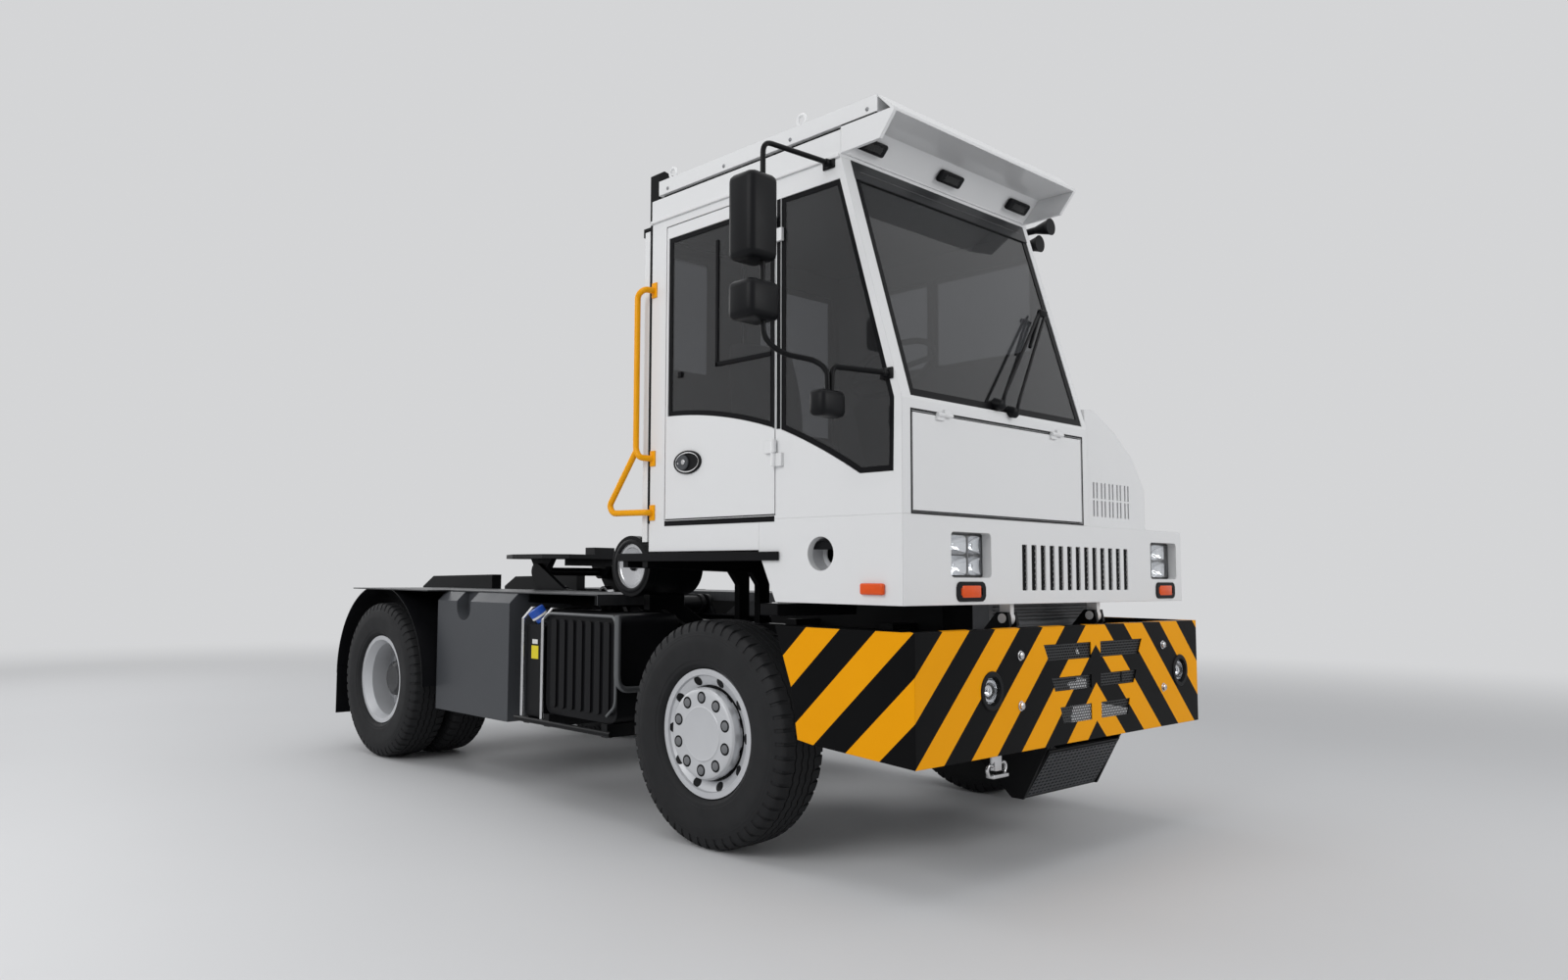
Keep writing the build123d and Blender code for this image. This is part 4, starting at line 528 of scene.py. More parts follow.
def add_block(built, low, high, edge=0.0):
    """A block between two corners in millimetres, with rounded edges, into a bmesh."""
    start, end = place(*low), place(*high)
    middle, size = (start + end) / 2, end - start
    grid = bmesh.ops.create_cube(built, size=1)["verts"]
    for v in grid:
        v.co = Vector(c * s for c, s in zip(v.co, size))
    if edge:
        edges = {e for v in grid for e in v.link_edges}
        cut = bmesh.ops.bevel(built, geom=list(edges), offset=edge / 1000, segments=3, profile=0.5,
                              affect="EDGES")
        grid = list({v for f in cut["faces"] for v in f.verts} | {v for v in grid if v.is_valid})
    bmesh.ops.transform(built, matrix=Matrix.Translation(middle), verts=grid)


def block_piece(name, low, high, edge, look, body, smooth=None):
    """A piece that is one block."""
    built = bmesh.new()
    add_block(built, low, high, edge)
    return shape(name, built, look, body, smooth)


def add_turned(built, profile, spot, axis, steps=48):
    """A turned solid: profile is (along the axis, radius) in millimetres from spot."""
    spin = Vector(axis).to_track_quat("Z", "Y").to_matrix().to_4x4()
    frame_of = Matrix.Translation(place(*spot)) @ spin
    rings = []
    for along, radius in profile:
        if radius < 1e-6:
            rings.append([built.verts.new(frame_of @ Vector((0, 0, along / 1000)))])
            continue
        corners = [Vector((radius * c, radius * s, along)) / 1000 for c, s in around(steps)]
        rings.append([built.verts.new(frame_of @ corner) for corner in corners])
    for first, second in zip(rings, rings[1:]):
        if len(first) > 1 and len(second) > 1:
            bridge(built, (first, second))
            continue
        for k in range(steps):
            n = (k + 1) % steps
            if len(first) == 1:
                built.faces.new((first[0], second[k], second[n]))
            else:
                built.faces.new((first[k], first[n], second[0]))


def add_tube(built, route, radius, steps=14, bend=5):
    """A round tube along a route in millimetres whose corners are rounded."""
    points = [place(*p) for p in route]
    line = [points[0]]
    for before, corner, after in zip(points, points[1:], points[2:]):
        room = min((corner - before).length, (after - corner).length) * 0.45
        room = min(room, radius * 4.5 / 1000)
        start = corner + (before - corner).normalized() * room
        end = corner + (after - corner).normalized() * room
        for k in range(bend + 1):
            t = k / bend
            line.append(start * (1 - t) ** 2 + corner * 2 * t * (1 - t) + end * t ** 2)
    line.append(points[-1])
    side = None
    rings = []
    for k, here in enumerate(line):
        ahead = (line[min(k + 1, len(line) - 1)] - line[max(k - 1, 0)]).normalized()
        if side is None:
            side = ahead.orthogonal().normalized()
        side = (side - ahead * side.dot(ahead)).normalized()
        other = ahead.cross(side)
        rings.append([built.verts.new(here + (side * c + other * s) * radius / 1000)
                      for c, s in around(steps)])
    bridge(built, rings)
    built.faces.new(rings[0])
    built.faces.new(rings[-1])


def add_comb(built, corner, right, up, out, wide, tall, pitch, bar, thick):
    """A honeycomb sheet from a corner, with hexagonal holes, in millimetres."""
    start, right, up, out = place(*corner), Vector(right), Vector(up), Vector(out)
    side = pitch / math.sqrt(3)
    hole = (pitch - bar) / math.sqrt(3)
    columns = int(wide / pitch)
    rows = int(tall / (1.5 * side))
    for row in range(rows + 1):
        for column in range(columns):
            cx = (column + 0.5 + 0.5 * (row % 2)) * pitch
            cy = row * 1.5 * side
            rings = []
            for radius, depth in ((side, 0), (hole, 0), (hole, -thick)):
                spots = [right * (cx + radius * c) + up * (cy + radius * s) + out * depth
                         for c, s in around(6, math.pi / 6)]
                rings.append([built.verts.new(start + spot / 1000) for spot in spots])
            bridge(built, rings)


def add_slab(built, spot, across, normal, size, edge):
    """A block with rounded edges, its size given across, along and out of a face."""
    before = set(built.verts)
    bmesh.ops.create_cube(built, size=1)
    fresh = [v for v in built.verts if v not in before]
    for v in fresh:
        v.co = Vector(c * s / 1000 for c, s in zip(v.co, size))
    edges = list({e for v in fresh for e in v.link_edges})
    bmesh.ops.bevel(built, geom=edges, offset=edge / 1000, segments=4, profile=0.5, affect="EDGES")
    fresh = [v for v in built.verts if v not in before]
    out = Vector(normal).normalized()
    first = Vector(across).normalized()
    turn = Matrix((first, out.cross(first), out)).transposed().to_4x4()
    shift = Matrix.Translation(place(*spot) + out * size[2] / 2000)
    bmesh.ops.transform(built, matrix=shift @ turn, verts=fresh)


def inset(points, step):
    """A polygon moved inwards by a step, with mitred corners."""
    area = sum(a[0] * b[1] - b[0] * a[1] for a, b in zip(points, points[1:] + points[:1]))
    sign = 1 if area > 0 else -1
    moved = []
    count = len(points)
    for k in range(count):
        before, here, after = (Vector(points[(k + d) % count]) for d in (-1, 0, 1))
        first, second = (here - before).normalized(), (after - here).normalized()
        first_in = Vector((-first.y, first.x)) * sign
        second_in = Vector((-second.y, second.x)) * sign
        middle = first_in + second_in
        moved.append(here + middle * (step / max(0.4, 1 + first_in.dot(second_in))))
    return [(p.x, p.y) for p in moved]


def add_ring(built, outline, width, lift, depth):
    """A flat frame along an outline: lift turns (a, b, depth) into chassis millimetres."""
    inner = inset(outline, width)
    loops = []
    for line, level in ((outline, -depth), (outline, 0), (inner, 0), (inner, -depth)):
        loops.append([built.verts.new(place(*lift(a, b, level))) for a, b in line])
    bridge(built, loops + loops[:1])


# Tyres: sidewall ribs, shoulder blocks and zigzag grooves over the turned carcass
TYRE_R = 540
TREAD_PITCHES = 54


def tyre_mesh(name, centres, axle_y, side):
    """Tyres on one axle, one about each centre across the truck."""
    verts, faces = [], []
    wall = ((-103, 288), (-104, 308), (-124, 316), (-136, 330), (-139, 346), (-141, 348), (-143, 366),
            (-147, 400), (-149.5, 430), (-149, 455), (-147, 461), (-147.5, 466), (-145, 472),
            (-145.5, 478), (-143, 484))
    shoulder = ((-140, 497), (-135, 515), (-126, 528))
    rib_edges = (-116, -66, -58, -24, -16, 16, 24, 58, 66, 116)
    lines = [(x, r, "wall") for x, r in wall]
    lines += [(x, r, "shoulder") for x, r in shoulder]
    for index, x in enumerate(rib_edges):
        crown = TYRE_R - 6 * (abs(x) / 116) ** 2.4
        lines.append((x, crown, "rib"))
        if index == 0:
            lines.append((x + 1, crown, "rib"))
        elif index % 2 and index < len(rib_edges) - 1:
            lines += [(x + 1, crown - 14, "groove"), (rib_edges[index + 1] - 1, crown - 14, "groove")]
    lines += [(-x, r, "shoulder") for x, r in reversed(shoulder)]
    lines += [(-x, r, "wall") for x, r in reversed(wall)]
    shares = ((0.0, 0), (0.30, 0), (0.50, 0), (0.70, 0), (0.73, 1), (0.97, 1))
    turns = [(pitch + share, sunk) for pitch in range(TREAD_PITCHES) for share, sunk in shares]
    for centre in centres:
        base = len(verts)
        for turn, sunk in turns:
            angle = 2 * math.pi * turn / TREAD_PITCHES
            zig = 4 * math.sin(2 * math.pi * turn)
            for x, r, kind in lines:
                radius, across = r, x
                if sunk and kind == "shoulder":
                    radius = r - 9
                    across = x * 0.985
                if sunk and kind == "rib" and abs(x) >= 66:
                    radius = r - (11 if abs(x) > 100 else 0)
                if kind in ("rib", "groove") and abs(x) < 100:
                    across = x + zig
                verts.append(place(centre + across * side, axle_y + radius * math.cos(angle),
                                   AXLE_Z + radius * math.sin(angle)))
        count, wide = len(turns), len(lines)
        for k in range(count):
            n = (k + 1) % count
            for j in range(wide - 1):
                here, ahead = base + k * wide + j, base + n * wide + j
                faces.append((here, here + 1, ahead + 1, ahead))
    mesh = bpy.data.meshes.new(name)
    mesh.from_pydata([tuple(v) for v in verts], [], faces)
    built = bmesh.new()
    built.from_mesh(mesh)
    bpy.data.meshes.remove(mesh)
    return from_bmesh(name, built)


for side, side_name in ((-1, "right"), (1, "left")):
    front = piece(f"tyre_front_{side_name}", tyre_mesh(f"tyre_front_{side_name}", (WHEEL_X * side,), 0, side),
                  rubber, f"front_wheel_{side_name}", 28)
    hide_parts(f"front_tyre_{side_name}")
    twin = (WHEEL_X * side, (WHEEL_X - TWIN_PITCH) * side)
    rear = piece(f"tyre_rear_{side_name}", tyre_mesh(f"tyre_rear_{side_name}", twin, WHEELBASE, side),
                 rubber, f"rear_wheels_{side_name}", 28)
    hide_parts(f"rear_tyre_{side_name}")

# Front wheels: a silver hub plate with nuts and a rim cone; black rings and discs on them are painted shade
# for the nut sockets, the step round the plate and the hand holes
WHEEL_NUTS = 10
for side, side_name in ((-1, "right"), (1, "left")):
    axis = (side, 0, 0)
    plate, recess_shade, nuts = bmesh.new(), bmesh.new(), bmesh.new()
    hub = (side * (WHEEL_X + 90), 0, AXLE_Z)
    add_turned(plate, ((-2, 214), (28, 219), (41, 216), (50, 209), (54, 200), (55, 188), (55, 131),
                       (57.5, 128.5), (58.6, 125), (57.6, 121), (56.4, 117), (56.4, 0)), hub, axis, 72)
    add_turned(plate, ((25.4, 284), (17, 279), (-7, 229), (-12, 226), (-30, 226)), hub, axis, 72)
    # Black ring: painted shade in the step round the plate
    add_turned(recess_shade, ((-14, 227), (-14, 208)), hub, axis, 72)
    # Black discs on the cone: painted shade in the hand holes
    for c, s in around(WHEEL_NUTS):
        out = Vector((0.9 * side, -0.43 * c, -0.43 * s))
        spot = Vector((hub[0] + side * 5, 254 * c, AXLE_Z + 254 * s)) + out * 2.2
        add_turned(recess_shade, ((-0.8, 24.5), (0, 24), (0.1, 0)), spot, out, 28)
    # Black rings round the nuts: painted shade in the nut sockets
    for c, s in around(WHEEL_NUTS, math.pi / WHEEL_NUTS):
        spot = (hub[0], 171 * c, AXLE_Z + 171 * s)
        add_turned(recess_shade, ((54.8, 29), (55.9, 28.4), (56.2, 26), (55.4, 21), (55.2, 18)), spot, axis, 28)
        add_turned(nuts, ((55.2, 20.5), (57.6, 19.6), (59, 15), (59.6, 8), (59.7, 0)), spot, axis, 22)
    body = f"front_wheel_{side_name}"
    piece(f"hub_plate_{side_name}", from_bmesh("hub_plate", plate), silver, body, 24)
    piece(f"front_nut_sockets_{side_name}", from_bmesh("front_nut_sockets", recess_shade), plastic, body, 40)
    piece(f"front_nuts_{side_name}", from_bmesh("front_nuts", nuts), alloy, body, 40)

# Bumper: mesh behind the windows, and bolts
strand = Look("mesh_strand", (0.055, 0.057, 0.06), 0.35, metal=0.4)
strand.drift(30, 0.3).gloss(40, 0.1).grain(300, 2, 0.1, 0.0003)
comb = bmesh.new()
for low, tall, wide in ((902, 108, 520), (762, 96, 455), (614, 104, 385)):
    for sign in (-1, 1):
        start_x = FACE_CENTRE + (30 if sign > 0 else -wide)
        add_comb(comb, (start_x, FRONT_END + 8, low), TO_LEFT, UP, FORWARD, wide - 20, tall, 15, 4.2, 2)
shape("bumper_mesh", comb, strand, "chassis")

bolts = bmesh.new()
for x in (-494, 851):
    for z in (953, 735):
        add_turned(bolts, ((0, 22), (3, 22), (4, 17), (12, 16), (15, 12), (16, 0)),
                   (x, FRONT_END, z), FORWARD, 20)
shape("bumper_bolts", bolts, steel, "chassis", 40)

# Mesh behind the slots of the front panel
grille = bmesh.new()
add_comb(grille, (PANEL_CENTRE - 510, CAB_FRONT + 7, 1222), TO_LEFT, UP, FORWARD, 1020, 236, 15, 5, 2)
shape("slot_mesh", grille, plastic, "cab")

# Recessed cup behind the round opening in the cab's side, with a black bore that is painted shade in the hole
cup, bore = bmesh.new(), bmesh.new()
CUP_SPOT = (-CAB_HALF, -745, 1390)
add_turned(cup, ((-33, 74.5), (-62, 73), (-92, 66), (-96, 60), (-96, 44)), CUP_SPOT, TO_RIGHT, 48)
add_turned(bore, ((-94, 46), (-130, 46), (-131, 0)), CUP_SPOT, TO_RIGHT, 40)
cup_grey = Look("cup_grey", (0.50, 0.505, 0.52), 0.4)
cup_grey.drift(12, 0.06).gloss(20, 0.05).grain(150, 2, 0.03, 0.0003)
shape("side_cup", cup, cup_grey, "cab", 40)
# Black bore: painted shade in the hole
shape("side_cup_bore_shade", bore, print_and_shade_black, "cab", 40)

# Black sheet behind the slot mesh: painted shade seen through the slots
block_piece("slot_shade_sheet", (PANEL_CENTRE - 512, CAB_FRONT + 12, 1222),
            (PANEL_CENTRE + 512, CAB_FRONT + 15, 1458), 0.5, print_and_shade_black, "cab")

# Slats that catch the light before the radiator
slats = bmesh.new()
for z in range(1092, 1190, 15):
    add_block(slats, (FACE_CENTRE - 470, -1006, z), (FACE_CENTRE + 470, -992, z + 4), 1)
shape("radiator_slats", slats, strand, "chassis")


# Perforated sheet over the lower guard, on a black sheet that is painted shade in its holes
def add_sieve(built, corner, right, up, out, counts, pitch, hole, thick):
    """A sheet of rectangular holes from a corner: counts, pitches and hole sizes across and up."""
    start, right, up, out = place(*corner), Vector(right), Vector(up), Vector(out)
    for row in range(counts[1]):
        for column in range(counts[0]):
            middle = right * ((column + 0.5) * pitch[0]) + up * ((row + 0.5) * pitch[1])
            rings = []
            for (wide, tall), depth in ((pitch, 0), (hole, 0), (hole, -thick)):
                spots = [middle + right * (i * wide / 2) + up * (j * tall / 2) + out * depth
                         for i, j in ((-1, -1), (1, -1), (1, 1), (-1, 1))]
                rings.append([built.verts.new(start + spot / 1000) for spot in spots])
            bridge(built, rings)


guard_up = Vector((0, -140, 236)).normalized()
guard_out = Vector((0, -236, -140)).normalized()
guard_foot = Vector((FACE_CENTRE - 318, -1052, 268)) + guard_up * 12
sieve, hole_shade_sheet = bmesh.new(), bmesh.new()
add_sieve(sieve, guard_foot + guard_out * 4, TO_LEFT, guard_up, guard_out, (19, 12),
          (33.4, 20.4), (21, 10), 3)
guard_middle = guard_foot + guard_up * 122 + Vector((318, 0, 0))
# Black sheet behind the holes: painted shade
add_slab(hole_shade_sheet, guard_middle + guard_out * 0.4, TO_LEFT, guard_out, (634, 244, 0.8), 0.2)
guard_grey = Look("guard_grey", (0.035, 0.037, 0.041), 0.4, specular=0.3)
guard_grey.drift(8, 0.15).gloss(14, 0.08).grain(200, 2, 0.06, 0.0004)
shape("guard_sieve", sieve, guard_grey, "chassis")
shape("guard_backing", hole_shade_sheet, print_and_shade_black, "chassis")

# Dark frames round the glass
borders = bmesh.new()
tilt = math.atan(SCREEN_LEAN)


def on_screen(a, b, depth):
    """Along and up the windscreen plane, from its lower edge."""
    return (a, CAB_FRONT + b * math.sin(tilt) - depth * math.cos(tilt),
            SCREEN_BOTTOM + b * math.cos(tilt) + depth * math.sin(tilt))


add_ring(borders, oblong(-1169, 17, 204, 1079), 34, lambda a, b, d: on_screen(a, b, d - 3), 10)
header = bmesh.new()
add_ring(header, oblong(-1172, 1046, 207, 1138), 45, lambda a, b, d: on_screen(a, b, d + 1.5), 6)
header_glass = Look("header_glass", (0.026, 0.027, 0.029), 0.3, specular=0.35)
header_glass.drift(6, 0.1)
shape("screen_header", header, header_glass, "cab")
QUARTER_LOW, QUARTER_TOP = CAB_SHELF + 175, CAB_ROOF - 98


def arc_through(first, middle, last, steps=12):
    """Points of the circle through three points, from the first to the last."""
    (ax, ay), (bx, by), (cx, cy) = first, middle, last
    d = 2 * (ax * (by - cy) + bx * (cy - ay) + cx * (ay - by))
    a2, b2, c2 = ax * ax + ay * ay, bx * bx + by * by, cx * cx + cy * cy
    ux = (a2 * (by - cy) + b2 * (cy - ay) + c2 * (ay - by)) / d
    uy = (a2 * (cx - bx) + b2 * (ax - cx) + c2 * (bx - ax)) / d
    radius = math.hypot(ax - ux, ay - uy)
    start, end = math.atan2(ay - uy, ax - ux), math.atan2(cy - uy, cx - ux)
    sweep = (end - start + math.pi) % (2 * math.pi) - math.pi
    turns = [start + sweep * k / steps for k in range(steps + 1)]
    return [(ux + radius * math.cos(a), uy + radius * math.sin(a)) for a in turns]


quarter_belt = arc_through((-509, QUARTER_LOW + 230), (-738, QUARTER_LOW + 126), (-964, QUARTER_LOW + 1))
QUARTER = quarter_belt + [(-1139, QUARTER_LOW + 1), (-1145, SCREEN_BOTTOM + 4), (-861, QUARTER_TOP),
                          (-509, QUARTER_TOP)]
add_ring(borders, QUARTER, 24, lambda a, b, d: (-CAB_HALF + 4 - d, a, b), 9)
for y0, y1 in LEFT_PANES:
    outline = oblong(y0 + 1, 2441, y1 - 1, CAB_ROOF - 171)
    add_ring(borders, outline, 22, lambda a, b, d: (CAB_LEFT - 4 + d, a, b), 9)
add_ring(borders, oblong(-469, 2081, 169, 2959), 30, lambda a, b, d: (a, CAB_REAR - 4 + d, b), 9)
add_block(borders, (-CAB_HALF - 1.6, -506, QUARTER_LOW + 232), (-CAB_HALF + 2, -483, QUARTER_TOP), 0.6)
add_block(borders, (-CAB_HALF - 1.6, -470, 1537), (-CAB_HALF + 2, 297, 1563), 0.6)
shape("glass_borders", borders, print_and_shade_black, "cab")

door_border = bmesh.new()
PANE_TOP = CAB_ROOF - 109
DOOR_WINDOW = arc_through((279, 2093), (-61, 2061), (-461, 1965)) + [(-461, PANE_TOP), (279, PANE_TOP)]
add_ring(door_border, DOOR_WINDOW, 24, lambda a, b, d: (-CAB_HALF + 5 - d, a, b), 9)
add_block(door_border, (-CAB_HALF - 1.6, -469, 1962), (-CAB_HALF + 2, -459, PANE_TOP), 0.6)
add_block(door_border, (-CAB_HALF + 1, -86, 2300), (-CAB_HALF + 9, -66, 2925), 3)
add_block(door_border, (-CAB_HALF + 1, -440, 2300), (-CAB_HALF + 9, -66, 2322), 3)
add_block(door_border, (-CAB_HALF - 4, 176, 2280), (-CAB_HALF + 9, 204, 2310), 4)
shape("door_glass_border", door_border, print_and_shade_black, "side_door")

# Door handle: an oval recess with a paddle in its rear half and a lock
HANDLE_Y, HANDLE_Z = 121, 1848


def add_oval(built, profile, centre, wide, tall, steps=44):
    """Oval rings on the right side: profile is (outwards, share of the oval)."""
    rings = []
    for out, share in profile:
        spots = [(-CAB_HALF - out, centre[0] + wide * share * c, centre[1] + tall * share * s)
                 for c, s in around(steps)]
        rings.append([built.verts.new(place(*spot)) for spot in spots])
    bridge(built, rings)
    built.faces.new(rings[-1])


handle, paddle, lock = bmesh.new(), bmesh.new(), bmesh.new()
add_oval(handle, ((0, 1.02), (9, 1.02), (11.5, 0.99), (11.5, 0.90), (9, 0.86), (1.2, 0.84), (1.2, 0.3)),
         (HANDLE_Y, HANDLE_Z), 98, 57)
add_oval(paddle, ((1.4, 1.0), (7, 1.0), (9.5, 0.93), (9.8, 0.5)), (HANDLE_Y + 36, HANDLE_Z), 43, 38)
add_turned(lock, ((8, 13), (13, 13), (14.5, 11), (14.5, 0)), (-CAB_HALF, HANDLE_Y + 26, HANDLE_Z + 2),
           TO_RIGHT, 22)
add_turned(lock, ((8, 5), (10.5, 5), (11, 3), (11, 0)), (-CAB_HALF, HANDLE_Y + 66, HANDLE_Z - 3),
           TO_RIGHT, 14)
shape("door_handle", handle, plastic, "side_door", 35)
shape("door_paddle", paddle, grey, "side_door", 35)
shape("door_lock", lock, steel, "side_door", 35)

# Headlamps: a wide and a narrow pair of reflectors behind a clear cover, set back in a pocket
LAMP_IN, LAMP_OUT, LAMP_LOW, LAMP_HIGH = 744, 1042, 1292, 1486
LAMP_FACE = CAB_FRONT + 50


def add_reflector(built, spot, wide, tall, depth, steps=28):
    """A dished reflector whose mouth is a rounded rectangle, facing the front."""
    rings = []
    for share, back in ((1.0, 0), (0.93, 0.22), (0.78, 0.55), (0.52, 0.85), (0.22, 1.0)):
        ring = []
        power = 0.34 + 0.66 * (1 - share)
        for c, s in around(steps):
            across = math.copysign(abs(c) ** power, c) * wide / 2 * share
            along = math.copysign(abs(s) ** power, s) * tall / 2 * share
            ring.append(built.verts.new(place(spot[0] + across, spot[1] + back * depth, spot[2] + along)))
        rings.append(ring)
    bridge(built, rings)


lamp_bowls, lamp_frame, lamp_cover = bmesh.new(), bmesh.new(), bmesh.new()
for side in (-1, 1):
    for offset, wide in ((933, 150), (797, 88)):
        for dz in (-45, 45):
            spot = (PANEL_CENTRE + side * offset, LAMP_FACE + 4, (LAMP_LOW + LAMP_HIGH) / 2 + dz)
            add_reflector(lamp_bowls, spot, wide, 84, 38)
            add_turned(lamp_bowls, ((-38, 0.5), (-20, 11), (-13, 9), (-10, 0)), spot, FORWARD, 16)
    x0, x1 = sorted((PANEL_CENTRE + side * LAMP_IN, PANEL_CENTRE + side * LAMP_OUT))
    outline = oblong(x0 + 1, LAMP_LOW + 1, x1 - 1, LAMP_HIGH - 1)
    add_ring(lamp_frame, outline, 10, lambda a, b, d: (a, LAMP_FACE - 4 - d, b), 14)
    add_block(lamp_frame, (x0 + 2, LAMP_FACE + 44, LAMP_LOW + 2), (x1 - 2, LAMP_FACE + 48, LAMP_HIGH - 2))
    divider = PANEL_CENTRE + side * 850
    add_block(lamp_frame, (divider - 5, LAMP_FACE, LAMP_LOW + 4),
              (divider + 5, LAMP_FACE + 44, LAMP_HIGH - 4), 1.5)
    add_block(lamp_cover, (x0 + 4, LAMP_FACE - 8, LAMP_LOW + 4), (x1 - 4, LAMP_FACE - 4, LAMP_HIGH - 4), 1.5)
lamps = shape("headlamp_bowls", lamp_bowls, chrome, "cab", 50)
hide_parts("headlamps")
lamp_grey = Look("lamp_recess", (0.20, 0.205, 0.215), 0.35, metal=0.5)
lamp_grey.drift(12, 0.05).gloss(20, 0.05).grain(300, 2, 0.05, 0.0003)
shape("headlamp_frames", lamp_frame, lamp_grey, "cab")
shape("headlamp_covers", lamp_cover, clear, "cab")

# Indicators: amber lenses in black frames, and the amber marker on the side
lens, bezel = bmesh.new(), bmesh.new()
for side in (-1, 1):
    x = PANEL_CENTRE + side * 902
    add_block(lens, (x - 74, CAB_FRONT - 8, 1202), (x + 74, CAB_FRONT + 20, 1263), 11)
    outline = [(x - 106, 1214), (x - 98, 1198), (x - 82, 1190), (x + 82, 1190), (x + 98, 1198),
               (x + 106, 1214), (x + 106, 1251), (x + 98, 1267), (x + 82, 1275), (x - 82, 1275),
               (x - 98, 1267), (x - 106, 1251)]
    add_ring(bezel, outline, 26, lambda a, b, d: (a, CAB_FRONT - 6 - d, b), 24)
add_block(lens, (-CAB_HALF - 20, -1096, 1218), (-CAB_HALF + 2, -974, 1266), 9)
lens_piece = shape("indicator_lenses", lens, amber, "cab", 40)
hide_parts("indicators")
shape("indicator_frames", bezel, plastic, "cab")

# Fog lamps: a black ring, a bowl and a lens
fog_ring, fog_bowl, fog_lens = bmesh.new(), bmesh.new(), bmesh.new()
for side in (-1, 1):
    spot = (FACE_CENTRE + side * FOG_SPREAD, FRONT_END, FOG_Z)
    add_turned(fog_ring, ((-70, 60), (-60, 74), (2, 83.5), (5, 80), (5, 62), (-14, 56)), spot, FORWARD, 48)
    add_turned(fog_bowl, ((-58, 6), (-52, 26), (-36, 44), (-14, 56)), spot, FORWARD, 40)
    add_turned(fog_bowl, ((-58, 0.5), (-34, 13), (-28, 9), (-26, 0)), spot, FORWARD, 16)
    add_turned(fog_lens, ((-16, 57), (-9, 50), (-5, 30), (-4, 0)), spot, FORWARD, 40)
fog = shape("fog_rings", fog_ring, plastic, "chassis", 35)
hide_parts("fog_lamps")
shape("fog_bowls", fog_bowl, chrome, "chassis", 40)
shape("fog_lenses", fog_lens, clear, "chassis", 40)

# Marker lamps on the slope under the visor: oval black housings with dark lenses
SOFFIT_FRONT, SOFFIT_REAR = (-961, CAB_ROOF + 118), (-873, CAB_ROOF + 20)
SOFFIT_MIDDLE = [(a + b) / 2 for a, b in zip(SOFFIT_FRONT, SOFFIT_REAR)]
housing, dark = bmesh.new(), bmesh.new()
slope = math.atan2(SOFFIT_FRONT[1] - SOFFIT_REAR[1], SOFFIT_REAR[0] - SOFFIT_FRONT[0])
face_out = (0, -math.sin(slope), -math.cos(slope))
for x in (-1095, -515, 65):
    seat_point = Vector((x, *SOFFIT_MIDDLE))
    add_slab(housing, seat_point + Vector(face_out), TO_LEFT, face_out, (178, 60, 26), 12.9)
    add_slab(dark, seat_point + Vector(face_out) * 21, TO_LEFT, face_out, (112, 34, 7), 3)
marker = shape("marker_housings", housing, plastic, "cab", 40)
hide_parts("marker_lamps")
shape("marker_lenses", dark, dark_lens, "cab", 40)

# Screws along the roof cap
SCREW = ((0, 9), (2, 9), (4, 6), (4.6, 0))
screws = bmesh.new()
for y in (-1012, -564, -123, 297):
    add_turned(screws, SCREW, (-CAB_HALF, y, 3281), TO_RIGHT, 16)
for x in (-1100, -650, -200, 150):
    add_turned(screws, SCREW, (x, 370, 3290), (0, 1, 0), 16)
shape("roof_screws", screws, alloy, "cab", 40)

# Black strips: painted shade in the gap under the cap and in the seam between visor and cap, and a black seal
# down the cab's rear corner
seal = bmesh.new()
ROOF_FRONT, CAP_REAR = -865, 370
for x in (-CAB_HALF + 22, CAB_LEFT - 25):
    add_block(seal, (x, ROOF_FRONT + 26, CAP_LOW - 19), (x + 3, CAP_REAR - 26, CAP_LOW - 1))
add_block(seal, (-CAB_HALF + 22, CAP_REAR - 25, CAP_LOW - 19), (CAB_LEFT - 22, CAP_REAR - 22, CAP_LOW - 1))
# Painted shade in the seam between visor and cap
add_block(seal, (-CAB_HALF + 3, -1060, CAP_LOW - 7.4), (-CAB_HALF + 8, ROOF_FRONT, CAP_LOW - 0.6))
add_block(seal, (-CAB_HALF - 1, 413, CAB_SHELF + 4), (-CAB_HALF + 8, 430, CAB_ROOF - 4))
shape("roof_gap_shade_and_corner_seal", seal, print_and_shade_black, "cab")

# Lips along the upper edges of the cab's sides
eave = bmesh.new()
for x in (-CAB_HALF - 13, CAB_LEFT + 0.5):
    add_block(eave, (x, ROOF_FRONT + 4, CAB_ROOF - 3), (x + 12.5, CAB_REAR - 2, CAB_ROOF + 13), 3)
shape("roof_eaves", eave, white, "cab")

# Rings and feet over the lifting eyes
eyes = bmesh.new()
EYE_R, EYE_WIRE = 25, 7.4
turns = [math.pi * k / 6 for k in range(13)]
loop = [(EYE_WIRE * math.cos(a), EYE_R + EYE_WIRE * math.sin(a)) for a in turns]
for x in (-1195, 205):
    for y in (-600, 300):
        add_turned(eyes, loop, (x, y, CAP_TOP + 39.5), TO_LEFT, 36)
        add_turned(eyes, ((0, 20), (5, 20), (6, 18), (6, 11), (13, 10.6)), (x, y, CAP_TOP), UP, 24)
shape("lifting_eyes", eyes, white, "cab", 40)

# Seal round the front hatch
hatch_seal = bmesh.new()
add_ring(hatch_seal, oblong(-1179, CAB_SHELF + 2, 194, 1985), 8,
         lambda a, b, d: (a, CAB_FRONT - 1.2 - d, b), 2.4)
shape("hatch_seal", hatch_seal, plastic, "cab")

# Dark trim inside the rear door, round the part of its glass that is left clear
trim = bmesh.new()
clear_x, clear_z = (-1065, -830), (2375, 3005)
for x0, z0, x1, z1 in ((-1190, 1800, clear_x[0], 3030), (clear_x[1], 1800, -560, 3030),
                       (clear_x[0], 1800, clear_x[1], clear_z[0]),
                       (clear_x[0], clear_z[1], clear_x[1], 3030)):
    add_block(trim, (x0, CAB_REAR + 9.5, z0), (x1, CAB_REAR + 13.4, z1))
shape("rear_door_trim", trim, plastic, "rear_door")

